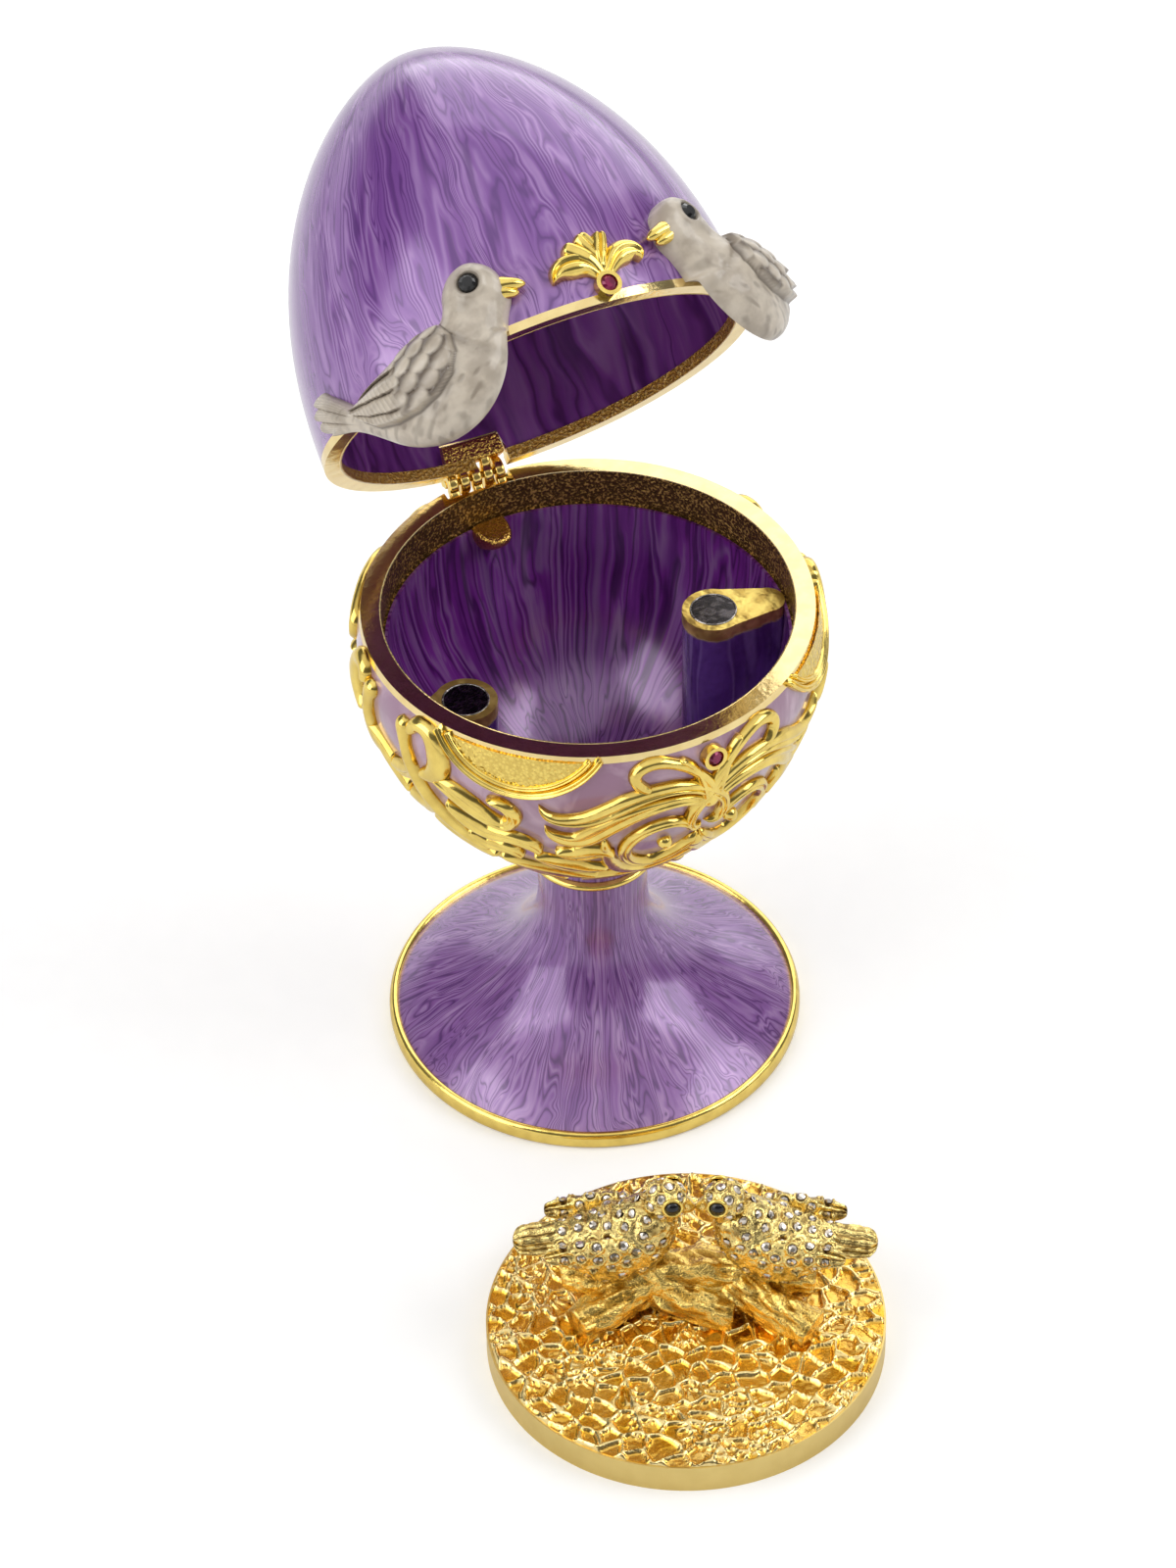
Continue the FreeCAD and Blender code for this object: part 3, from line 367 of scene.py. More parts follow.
class Finish:
    """The node tree of a material or a world while it is being made."""

    def __init__(self, name, kind="materials"):
        self.made = getattr(bpy.data, kind).new(name)
        self.made.use_nodes = True
        self.tree = self.made.node_tree
        self.tree.nodes.clear()

    def node(self, kind, settings=None, inputs=None, output=0):
        """Add a node: first its settings, then a value or a link for each input. The answer is
        the wire of one of its outputs."""
        made = self.tree.nodes.new(kind)
        for name, value in (settings or {}).items():
            setattr(made, name, value)
        for name, value in (inputs or {}).items():
            if isinstance(value, Wire):
                self.tree.links.new(value.socket, made.inputs[name])
            else:
                made.inputs[name].default_value = value
        return Wire(self, made.outputs[output]) if made.outputs else None

    def place(self, scale=(1, 1, 1), rotation=(0, 0, 0), location=(0, 0, 0)):
        """Object coordinates, scaled, turned and moved."""
        there = self.node("ShaderNodeTexCoord", output="Object")
        return self.node("ShaderNodeMapping", {}, {"Vector": there, "Scale": scale, "Rotation": rotation,
                                                   "Location": location})

    def painted_shade_and_strokes(self):
        """Painted shade kept on the mesh by its shape, stronger in recesses, with the doves' brush strokes; 0 on a
        CAD piece.
        """
        return self.node("ShaderNodeAttribute", {"attribute_name": "painted_shade_and_brush_strokes"}, output="Fac")

    def to_camera(self):
        """1 for what the camera sees directly, 0 for reflections and light."""
        return self.node("ShaderNodeLightPath", output="Is Camera Ray")

    def cloud(self, vector, scale, detail=2.0, roughness=0.5, distortion=0.0):
        """Noise from 0 to 1."""
        return self.node("ShaderNodeTexNoise", {}, {"Vector": vector, "Scale": scale, "Detail": detail,
                                                    "Roughness": roughness, "Distortion": distortion})

    def blend(self, share, first, second):
        """Mix two colours, each a wire or (r, g, b); a colour mix has them in sockets 6 and 7."""
        colours = [c if isinstance(c, Wire) else (*c, 1) for c in (first, second)]
        inputs = {0: share, 6: colours[0], 7: colours[1]}
        return self.node("ShaderNodeMix", {"data_type": "RGBA"}, inputs, output=2)

    def parts(self, vector):
        """The x, y and z of a vector."""
        split = self.tree.nodes.new("ShaderNodeSeparateXYZ")
        self.tree.links.new(vector.socket, split.inputs[0])
        return [Wire(self, output) for output in split.outputs]

    def joined(self, x, y, z):
        """A vector from three numbers or wires."""
        return self.node("ShaderNodeCombineXYZ", {}, {0: x, 1: y, 2: z})

    def bump(self, height, strength, distance):
        """The normal of a surface that a height of 1 lifts by distance, in metres."""
        return self.node("ShaderNodeBump", {}, {"Height": height, "Strength": strength, "Distance": distance})

    def shader(self, **inputs):
        """The Principled shader with these sockets set or linked; names use spaces for underscores."""
        named = {name.replace("_", " "): value for name, value in inputs.items()}
        for name in ("Base Color", "Emission Color"):
            if isinstance(named.get(name), tuple):
                named[name] = (*named[name], 1)
        surface = self.node("ShaderNodeBsdfPrincipled", {}, named)
        self.node("ShaderNodeOutputMaterial", {}, {"Surface": surface})
        return self.made


# %% [markdown]
# ## Finishes
#
# Enamel is glass melted over metal. Here pearly violet glass was combed while wet, as paper is
# marbled: its colours run down the egg in bundles of fine parallel lines that bend round each
# other. Such lines are the contours of a slow noise, drawn by folding the noise back and forth
# many times. The noise reads the direction round the axis times a large number, and the height
# times a small one, so that it changes fast round the egg and slowly down it.

# %% Combed enamel
def combed(finish, where, around, along, curl, folds, lean, wild):
    """Wires for broad tone, contour lines, line bundles and wildness, from a place about the
    upright axis. Reach = height + lean x radius grows steadily along the meridian; between the
    two reaches in wild the lines turn from hooked to calm."""
    x, y, z = finish.parts(where)
    radius = (x * x + y * y + 1e-9) ** 0.5
    way_x, way_y = x / radius, y / radius
    reach = z + radius * lean
    loose = 1 - reach.ramp(*wild)
    spread = finish.joined(way_x * around, way_y * around, reach * along)
    drift = finish.cloud(finish.joined(way_x * 4, way_y * 4, reach * 70), 1.0, detail=2.0) - 0.5
    hook = drift * (loose * 3.0 * curl + curl)
    hooked = finish.joined(hook, 0 - hook, hook * 0.6)
    bent = finish.node("ShaderNodeVectorMath", {"operation": "ADD"}, {0: hooked, 1: spread})
    slow = finish.cloud(bent, 0.50, detail=2.0, roughness=0.45, distortion=0.5)
    contour = (slow * folds).maths("PINGPONG", 1.0)
    broad = finish.cloud(bent, 1.0, detail=4.0, roughness=0.60, distortion=0.3)
    bundle = finish.cloud(bent, 0.8, detail=1.0)
    return broad, contour, bundle, loose


def violet_enamel(name, deep, middle, light, line, around, folds, along=26, curl=1.1, lean=-0.6,
                  wild=(0.0, 0.001), roughness=0.25, **turned):
    """Pearly glass in three tones with bundles of dark and pale combed lines."""
    finish = Finish(name)
    where = finish.place(**turned)
    broad, contour, bundle, loose = combed(finish, where, around, along, curl, folds, lean, wild)
    tone = finish.blend(broad.ramp(0.34, 0.54), deep, middle)
    tone = finish.blend(broad.ramp(0.52, 0.72) * 0.75, tone, light)
    tone = finish.blend(contour.ramp(0.40, 1.0) * bundle.ramp(0.30, 0.60) * 0.55, tone, light)
    tone = finish.blend(loose * 0.35, tone, light)
    dark_line = (1 - contour.ramp(0.0, 0.45)) * (1 - bundle.ramp(0.55, 0.85) * 0.5)
    tone = finish.blend(dark_line * 0.68, tone, line)
    relief = finish.bump(dark_line, 0.06, 0.0001)
    return finish.shader(Base_Color=tone, Roughness=roughness, Metallic=0.20, Coat_Weight=0.9,
                         Coat_Roughness=0.14, Normal=relief)


# The lid's patterns are laid out on the closed lid, so its coordinates are first turned shut.
lid_place = {"rotation": tuple(closing.to_euler("XYZ")),
             "location": tuple((pin_point - closing @ pin_point) * MILLIMETRE)}
lid_enamel = violet_enamel(
    "lid enamel", deep=(0.170, 0.048, 0.285), middle=(0.215, 0.072, 0.330), light=(0.440, 0.260, 0.560),
    line=(0.075, 0.013, 0.150), around=12.0, folds=36, along=30, wild=(0.059, 0.068), **lid_place)
lid_inside_enamel = violet_enamel(
    "lid inside enamel", deep=(0.170, 0.030, 0.250), middle=(0.290, 0.070, 0.390),
    light=(0.480, 0.240, 0.560), line=(0.060, 0.009, 0.085), around=6.0, folds=14, roughness=0.2, **lid_place)
foot_enamel = violet_enamel(
    "foot enamel", deep=(0.170, 0.056, 0.260), middle=(0.245, 0.095, 0.345), light=(0.430, 0.270, 0.520),
    line=(0.055, 0.014, 0.100), around=13.0, folds=36, along=40, curl=1.6, lean=-1.0, wild=(-0.030, -0.016))
cup_inside_enamel = violet_enamel(
    "cup inside enamel", deep=(0.135, 0.012, 0.215), middle=(0.240, 0.030, 0.345),
    light=(0.400, 0.230, 0.470), line=(0.030, 0.004, 0.050), around=13.0, folds=16, lean=0.6,
    wild=(0.052, 0.062), roughness=0.2)

# %% [markdown]
# The glass between the scrolls is paler and pinker, and too narrow to comb: it only drifts.
# The doves are painted in a matt grey-beige enamel with brown brush strokes, and their recesses get brown painted
# shade. The sculpted recesses are known when the shape is worked out, so the mesh carries the painted shade as an
# attribute, and the material reads that instead of guessing.

# %% Pale enamel and dove enamel
def lilac_enamel():
    """Two pale tones that drift into each other."""
    finish = Finish("lilac enamel")
    drift = finish.cloud(finish.place(scale=(160, 160, 90)), 1.0, detail=3.0, distortion=1.5)
    tone = finish.blend(drift.ramp(0.35, 0.65), (0.330, 0.170, 0.270), (0.520, 0.340, 0.450))
    return finish.shader(Base_Color=tone, Roughness=0.3, Metallic=0.2, Coat_Weight=0.9, Coat_Roughness=0.05)


def dove_enamel():
    """Grey-beige in two tones, with brown painted shade in the mesh's recesses and its brown brush strokes."""
    finish = Finish("dove enamel")
    shade_and_strokes = finish.painted_shade_and_strokes()
    where = finish.place()
    patch = finish.cloud(where, 330, detail=3.0)
    brush = finish.cloud(where, 1500, detail=2.0)
    tone = finish.blend(patch.ramp(0.38, 0.66), (0.600, 0.525, 0.425), (0.430, 0.365, 0.290))
    # Brown painted shade in recesses, and the brown brush strokes, as the mesh gives them.
    tone = finish.blend(shade_and_strokes, tone, (0.130, 0.098, 0.070))
    relief = finish.bump(brush, 0.25, 0.00012)
    return finish.shader(Base_Color=tone, Roughness=0.34 + patch * 0.15, Coat_Weight=0.55,
                         Coat_Roughness=0.12, Normal=relief)


cup_enamel = lilac_enamel()
dove_paint = dove_enamel()

# %% [markdown]
# Gold plate takes its look from what it mirrors, so its colour is plain and its surface does the work: polished on
# the mounts, satin on the dish's band, hammered in the crescents. Painted shade darkens the recesses of the
# branch, the net, the birds and the scrolls.

# %% Gilt metal
GOLD = (1.000, 0.765, 0.205)
DEEP_GOLD = (0.400, 0.215, 0.030)


def gilt(name, colour=GOLD, shadow=DEEP_GOLD, roughness=0.14, wave=0.15, wave_scale=420, grain=0.0,
         grain_scale=4200):
    """Gold plate: slow waves as of a polished casting, an optional grain, and painted shade where the mesh asks
    for it.
    """
    finish = Finish(name)
    shade_and_strokes = finish.painted_shade_and_strokes()
    where = finish.place()
    slow = finish.cloud(where, wave_scale, detail=2.0)
    fine = finish.cloud(where, grain_scale, detail=2.0)
    tone = finish.blend(slow.ramp(0.3, 0.7) * 0.25, colour, shadow)
    # Painted shade where the mesh asks for it.
    tone = finish.blend(shade_and_strokes, tone, shadow)
    relief = finish.bump(slow * wave + fine * grain, 1.0, 0.0003)
    return finish.shader(Base_Color=tone, Metallic=1.0, Roughness=fine * 0.10 + roughness, Normal=relief)


def casting_gilt(name, wall, wall_shadow, wall_glint, **turned):
    """Bright gold rim. Nearer the axis than the radius called wall, the casting is gritty, and its colour there is
    painted: a shade colour for the wall inside the cup or lid, with bright painted glints on the grit."""
    rim_gold, rim_shadow = (1.000, 0.800, 0.380), (0.700, 0.440, 0.140)
    finish = Finish(name)
    x, y, z = finish.parts(finish.place(**turned))
    inner = 1 - ((x * x + y * y) ** 0.5).ramp(wall, wall + 0.0002)
    where = finish.place()
    slow = finish.cloud(where, 420, detail=2.0)
    grit = finish.cloud(where, 2600, detail=3.0)
    bright = finish.blend(slow.ramp(0.3, 0.7) * 0.25, rim_gold, rim_shadow)
    # Painted shade on the wall, with painted glints on its grit.
    painted_wall = finish.blend(grit.ramp(0.48, 0.66), wall_shadow, wall_glint)
    relief = finish.bump(slow * 0.15 + grit * (inner * 1.1 + 0.05), 1.0, 0.0003)
    return finish.shader(Base_Color=finish.blend(inner, bright, painted_wall), Metallic=1 - inner * 0.35,
                         Roughness=inner * 0.12 + 0.14, Normal=relief)


def hammered_gilt():
    """Small flat dents: distance to the nearest of many scattered points, as bump."""
    finish = Finish("hammered gold")
    where = finish.place()
    dent = finish.node("ShaderNodeTexVoronoi", {}, {"Vector": where, "Scale": 2100.0})
    fine = finish.cloud(where, 3500, detail=2.0)
    relief = finish.bump(dent + fine * 0.3, 0.45, 0.0002)
    tone = finish.blend(dent.ramp(0.2, 0.7) * 0.35, GOLD, DEEP_GOLD)
    return finish.shader(Base_Color=tone, Metallic=1.0, Roughness=fine * 0.15 + 0.16, Normal=relief)


polished_gold = gilt("polished gold", roughness=0.11, wave=0.22)
# The flat rims end at these radii, and the walls inside them begin.
cup_wall = span("cup_inner_enamel")[1][0] * MILLIMETRE + 0.0003
cup_cast_gold = casting_gilt("cup casting gold", cup_wall, (0.120, 0.060, 0.012), (0.800, 0.500, 0.140))
lid_rim_width = 2.4
lid_wall = (rim_radius - lid_rim_width + 0.1) * MILLIMETRE
lid_cast_gold = casting_gilt("lid casting gold", lid_wall, (0.620, 0.330, 0.050), (1.000, 0.680, 0.220),
                             **lid_place)
satin_gold = gilt("satin gold", colour=(0.850, 0.655, 0.245), shadow=(0.730, 0.530, 0.170),
                  roughness=0.30, wave=0.03, grain=0.06)
net_gold = gilt("net gold", colour=(1.000, 0.810, 0.370), shadow=(0.820, 0.430, 0.030),
                roughness=0.12, wave=0.25, wave_scale=900, grain=0.08)
bark_gold = gilt("bark gold", colour=(0.960, 0.680, 0.190), wave=0.8, wave_scale=1100, grain=0.3)
bird_gold = gilt("bird gold", colour=(0.980, 0.760, 0.280), shadow=(0.170, 0.090, 0.020),
                 wave=0.6, wave_scale=1500, grain=0.2)
hinge_gold = gilt("hinge gold", colour=(1.000, 0.730, 0.230), shadow=(0.820, 0.460, 0.070),
                  roughness=0.13, wave=0.2)
crescent_gold = hammered_gilt()
grainy_gold = gilt("grainy gold", colour=(0.960, 0.600, 0.150), roughness=0.16, wave=0.3,
                   grain=0.9, grain_scale=2400)

# %% [markdown]
# Stones as small as these are read by their flashes: each facet mirrors another part of the
# room. A tinted, half metallic surface under a clear coat gives that without any refraction.
# The magnets, the discs and the screw are plated steel, scratched one way and blotted.

# %% Stones, magnets and steel
def cut_stone(name, colour, metallic, roughness=0.03, coat=1.0):
    """A faceted stone: each facet mirrors another part of the room, tinted by the stone."""
    finish = Finish(name)
    # Darker patches of the tint are painted reflection: facets that mirror dark parts of the room.
    depth = finish.cloud(finish.place(), 900, detail=1.0)
    tone = finish.blend(depth.ramp(0.35, 0.65), tuple(c * 0.55 for c in colour), colour)
    return finish.shader(Base_Color=tone, Metallic=metallic, Roughness=roughness, Coat_Weight=coat,
                         Coat_Roughness=0.01)


def worn_steel(name, colour, roughness):
    """Steel in its colour, with blots a third as bright and fine scratches that run one way."""
    finish = Finish(name)
    where = finish.place()
    scratch = finish.cloud(finish.place(scale=(1, 6, 1)), 900, detail=4.0)
    blot = finish.cloud(where, 700, detail=3.0, distortion=1.0)
    tone = finish.blend(blot.ramp(0.45, 0.62), tuple(c * 0.35 for c in colour), colour)
    relief = finish.bump(scratch, 0.4, 0.0001)
    return finish.shader(Base_Color=tone, Metallic=1.0, Roughness=scratch * 0.3 + roughness, Normal=relief)


ruby_red = cut_stone("ruby", (0.300, 0.008, 0.080), 0.6, coat=0.5)
clear_stone = cut_stone("clear stone", (0.900, 0.800, 0.680), 0.85, coat=0.4)
jet_black = cut_stone("jet", (0.006, 0.006, 0.007), 0.0, 0.12, coat=0.25)
magnet_plate = worn_steel("magnet plate", (0.110, 0.100, 0.105), 0.12)
bright_steel = worn_steel("bright steel", (0.800, 0.760, 0.720), 0.12)
plain_steel = worn_steel("plain steel", (0.560, 0.560, 0.580), 0.25)

# %% [markdown]
# The two magnet posts are enamelled up their sides, and their tops are bare gilt, a little worn.

# %% Magnet posts
post_top = span("magnet_post_left")[1][2]


def post_finish():
    """Enamel up the side of a magnet post, gilt on its top: the height decides."""
    finish = Finish("post enamel and gilt")
    where = finish.place()
    x, y, z = finish.parts(where)
    edge = finish.cloud(where, 500, detail=2.0)
    top = (z / MILLIMETRE + edge * 1.2).ramp(post_top - 1.6, post_top - 1.0)
    broad, contour, bundle, loose = combed(finish, where, around=9.0, along=30, curl=1.2, folds=16,
                                           lean=0.0, wild=(0.0, 0.001))
    glass = finish.blend(broad.ramp(0.4, 0.65), (0.050, 0.012, 0.130), (0.120, 0.045, 0.270))
    glass = finish.blend(contour.ramp(0.5, 1.0) * bundle.ramp(0.4, 0.6) * 0.6, glass, (0.230, 0.130, 0.400))
    worn = finish.blend(edge.ramp(0.35, 0.65) * 0.6, GOLD, DEEP_GOLD)
    tone = finish.blend(top, glass, worn)
    relief = finish.bump(edge, 0.8, 0.0004)
    return finish.shader(Base_Color=tone, Metallic=top * 0.85, Roughness=0.2 + top * 0.14,
                         Coat_Weight=1 - top, Normal=relief)


post_enamel = post_finish()
print(len(bpy.data.materials), "finishes")

# %% [markdown]
# ## Foot, cup and lid
#
# All of these are turned shapes: one profile carried round the axis. The profile is a closed
# line, outside and inside, so the skin of glass has its true thickness and no open edge. The
# azimuth runs from the front stone, so the hinge is at half a turn.

# %% Turned skins
def turned(radius, height, columns=320):
    """x = r sin a, y = -r cos a, z = height, for each profile point and each azimuth a.
    The profile may change with the azimuth: then radius and height have one row for each."""
    angle = full_turn(columns)[:, None]
    return Shell(stacked(radius * np.sin(angle), -radius * np.cos(angle), height), ring=True)


def skin_between(one, other, columns=320):
    """A turned skin whose profile runs out along one line and back along the other. A line is
    its radii and its heights."""
    profile = [np.concatenate([out, back[..., ::-1]], axis=-1) for out, back in zip(one, other)]
    return turned(*profile, columns)


def half_round(radius, middle, wide, tall):
    """A ring with an oval section whose outermost point lies at radius."""
    circle = full_turn(24)
    return turned(radius - wide + wide * np.cos(circle), middle + tall / 2 * np.sin(circle))


foot_knots = [(27.4, 2.1), (23.6, 4.6), (18.4, 7.4), (13.0, 11.2), (9.6, 15.4), (7.9, 19.5), (7.5, 24.4),
              (7.5, collar_z)]
foot_line = through(foot_knots, 110).T
foot_skin = skin_between(foot_line, foot_line - [[enamel], [enamel / 2]])
piece("foot_glass", [foot_skin], "stand", foot_enamel, ["foot_enamel"])

bead_middle, bead_wide, bead_tall = 1.3, 0.75, 2.5
bead = half_round(foot_radius, bead_middle, bead_wide, bead_tall)
piece("foot_bead", [bead], "stand", polished_gold)

collar_low, collar_high = span("neck_collar")
collar_middle, collar_wide = (collar_low[2] + collar_high[2]) / 2, 0.9
collar = half_round(collar_high[0], collar_middle, collar_wide, collar_high[2] - collar_low[2])
piece("collar_ring", [collar], "stand", polished_gold)

# %% [markdown]
# The cup's outline is a spline through the same shares of height and width as the CAD's. The
# scrolls need the point and the outward direction at any azimuth and depth, so the profile is
# kept as a fine table and read by interpolation.

# %% Cup profile
cup_shares = ((0.0, 0.9772), (0.123, 1.0), (0.246, 0.985), (0.369, 0.940), (0.492, 0.870), (0.615, 0.770),
              (0.739, 0.628), (0.862, 0.477), (0.936, 0.372), (1.0, 0.2573))
cup_shoulder = 30.7
cup_line = through([(cup_shoulder * r, cup_height * d) for d, r in cup_shares], 400)
cup_slope = unit(np.gradient(cup_line, axis=0))
# The front stone stands this many degrees round from the frame's front.
front = 0.7


def cup_profile(depth, lift):
    """Radius and height at a depth below the rim, moved outwards along the normal by lift."""
    radius, along_r, along_d = (np.interp(depth, cup_line[:, 1], values)
                                for values in (cup_line[:, 0], cup_slope[:, 0], cup_slope[:, 1]))
    return radius + lift * along_d, rim_z - depth + lift * along_r


def cup_point(azimuth, depth, lift):
    """Point on the cup at an azimuth (degrees from the front stone) and depth below the rim,
    lifted along the outward normal; returns points of shape (..., 3)."""
    radius, height = cup_profile(depth, lift)
    angle = np.radians(azimuth + front)
    return stacked(radius * np.sin(angle), -radius * np.cos(angle), height)


# %% [markdown]
# Cup and lid are notched at the back, where the leaves of the hinge sit. A skin that starts at
# the rim starts past the notch there, so its first row changes with the azimuth.

# %% Cup glass and neck band
# The notch reaches this many degrees to each side, and this many millimetres from the rim.
hinge_half, notch_depth = 9.6, 4.4
steps_round = 360
from_hinge = np.abs(np.linspace(0, 360, steps_round, endpoint=False) - 180)
at_notch = (from_hinge < hinge_half)[:, None]


def skin_start(edge):
    """Distance from the rim at which a skin starts: its edge, or the notch's depth."""
    return np.where(at_notch, notch_depth, edge)


def cup_rows(edge, lift, count):
    """The cup's profile from its edge, or from the notch, down to the neck."""
    start = skin_start(edge)
    return cup_profile(start + (cup_height - start) * np.linspace(0, 1, count)[None, :], lift)


cup_edge = 1.0
cup_skin = skin_between(cup_rows(cup_edge, 0.0, 90), cup_rows(cup_edge, -enamel, 12), steps_round)
piece("cup_glass", [cup_skin], "stand", cup_enamel, ["cup_outer_enamel"])

band_radius, band_waist = 7.9, 0.25
band_rise = np.linspace(0, 1, 7)
band_out = band_radius - band_waist * np.sin(np.pi * band_rise)
band_skin = turned(np.concatenate([band_out, [band_radius - enamel] * 2]),
                   np.concatenate([band_z + (cup_z - band_z) * band_rise, [cup_z, band_z]]))
piece("neck_glass", [band_skin], "stand", foot_enamel, ["neck_band_enamel"])

# %% [markdown]
# The bowl of the cup is a dome upside down: r = R (1 - (depth/D)^2.3)^0.6. The lid is the same
# kind of curve, fuller: r = R (1 - (height/H)^2.2)^0.63. Both are lined with a thin skin of
# glass, and the lid wears another outside.

# %% Bowl and lid glass
inner_wall, bowl_depth, bowl_radius = 5.5, 31.0, 27.0


def bowl_rows(inset, count):
    """Radius and height from the straight wall to the lowest point, both sizes less the inset."""
    sine = np.sin(np.linspace(0, np.pi / 2, count))
    height = rim_z - inner_wall - (bowl_depth - inset) * sine
    return (bowl_radius - inset) * (1 - sine ** 2.3) ** 0.6, height


bowl_skin = skin_between(bowl_rows(enamel, 120), bowl_rows(0.0, 12))
piece("bowl_glass", [bowl_skin], "stand", cup_inside_enamel, ["cup_inner_enamel"])

lid_height = 49.25


def lid_radius(height, inset=0.0):
    """r = R (1 - (h/H)^2.2)^0.63, both R and H less the inset."""
    share = np.clip(height / (lid_height - inset), 0, 1)
    return (rim_radius - inset) * (1 - share ** 2.2) ** 0.63


def lid_rows(edge, inset, count):
    """Heights bunched towards the apex, where the dome turns quickest."""
    tall = lid_height - inset
    first = np.arcsin(skin_start(edge) / tall)
    height = tall * np.sin(first + (np.pi / 2 - first) * np.linspace(0, 1, count)[None, :])
    return lid_radius(height, inset), lid_rim_z + height


lid_edge, lining_edge, lining_inset = 1.2, 1.6, 1.7
lid_skin = skin_between(lid_rows(lid_edge, 0.0, 130), lid_rows(lid_edge, enamel, 30), steps_round)
piece("lid_glass", [lid_skin.moved(opened)], "lid", lid_enamel, ["lid_outer_enamel"])

lining = skin_between(lid_rows(lining_edge, lining_inset + enamel, 110),
                      lid_rows(lining_edge, lining_inset, 20), steps_round)
piece("lid_lining", [lining.moved(opened)], "lid", lid_inside_enamel, ["lid_inner_enamel"])

# %% [markdown]
# ## Doves on the lid
#
# The doves are cast with the lid in low relief and hang down past its rim. They are easiest to
# draw on the egg unrolled: x runs round the rim, t runs up from it, and h stands off the
# surface. One dove is a grid from tail to forehead, with its lower and upper outline measured at
# each station, and a rounded height between them. The other dove is the same with x reversed.

# %% The lid unrolled
def lid_point(x, t, h):
    """Angle = x / rim radius; height = t above the rim; h along the outward normal, which is
    level at and below the rim."""
    height = np.clip(t, 0, None)
    radius = lid_radius(height)
    slope = (lid_radius(height + 0.01) - radius) / 0.01
    steep = np.hypot(1, slope)
    radial = radius + h / steep
    angle = x / rim_radius + math.radians(front)
    return stacked(radial * np.sin(angle), -radial * np.cos(angle), lid_rim_z + t - h * slope / steep)


# Each station: lower outline x and t, upper outline x and t, greatest height.
dove_stations = np.array((
    (-46.0, 1.2, -45.2, 6.6, 1.7), (-41.0, -0.8, -40.6, 3.6, 2.2), (-36.8, -2.6, -36.6, 0.9, 2.9),
    (-33.2, -5.6, -33.6, 1.6, 4.0), (-30.0, -8.2, -29.3, 2.8, 5.2), (-25.6, -9.8, -26.6, 3.8, 5.7),
    (-21.6, -9.4, -24.6, 4.4, 5.9), (-18.0, -7.2, -22.6, 4.6, 5.8), (-15.6, -4.0, -21.5, 4.9, 5.2),
    (-14.1, 0.2, -20.7, 6.4, 4.3), (-13.1, 2.6, -20.1, 8.2, 4.1), (-12.3, 3.9, -18.6, 9.9, 4.2),
    (-12.0, 5.3, -16.3, 10.6, 4.1), (-12.15, 6.7, -14.2, 9.9, 3.6), (-12.4, 7.7, -12.9, 8.7, 2.8)))
# Each station of the wing from its shoulder: lower x and t, upper x and t.
wing_stations = np.array((
    (-19.6, -0.6, -20.0, 1.8), (-20.8, -3.2, -21.4, 4.2), (-22.8, -4.8, -23.8, 4.8),
    (-25.6, -5.6, -26.6, 4.4), (-28.6, -5.4, -30.0, 3.4), (-31.2, -4.3, -33.2, 2.4),
    (-34.0, -2.2, -35.0, 1.5), (-36.2, -0.2, -36.4, 0.6)))
eye_spot = np.array((-16.1, 7.1))
# Each dove: x reversed or not, moved towards the front, and raised.
dove_places = {"left": (1, 0.0, 0.0), "right": (-1, 2.3, 1.4)}

# %% [markdown]
# Feathers near the shoulder overlap like roof tiles. For each point the three nearest rows of tiles are tried, and
# the first that reaches it lies on top. Each tile swells in its middle and lifts towards its tip, and the next
# tile starts in its shade: that place gets brown painted shade.

# %% Feathers
def feather_ways(x, t):
    """Distances along and across the way the feathers point, which is forward and down."""
    return 0.63 * x - 0.77 * t, 0.77 * x + 0.63 * t


def tiles(x, t, pitch=2.15, across=2.45, reach=1.55):
    """Height and shade of overlapping round tiles whose tips point forward and down."""
    along, side = feather_ways(x, t)
    height = np.zeros_like(x)
    shade = np.ones_like(x)
    free = np.ones(x.shape, bool)
    for step in (-1, 0, 1, 2):
        row = np.floor(along / pitch) + step
        column = np.round(side / across - (row % 2) / 2)
        forward = along - row * pitch
        apart = np.hypot(forward, side - (column + (row % 2) / 2) * across) / reach
        here = free & (apart < 1)
        swell = 0.72 * np.sqrt(np.clip(1 - apart ** 2.4, 0, 1)) + 0.20 * forward / reach
        height = np.where(here, swell, height)
        shade = np.where(here, np.maximum(step_up(apart, 0.74, 1.0) * 0.95,
                                          step_up(-forward / reach, -0.25, 0.5)), shade)
        free &= ~here
    return height, shade


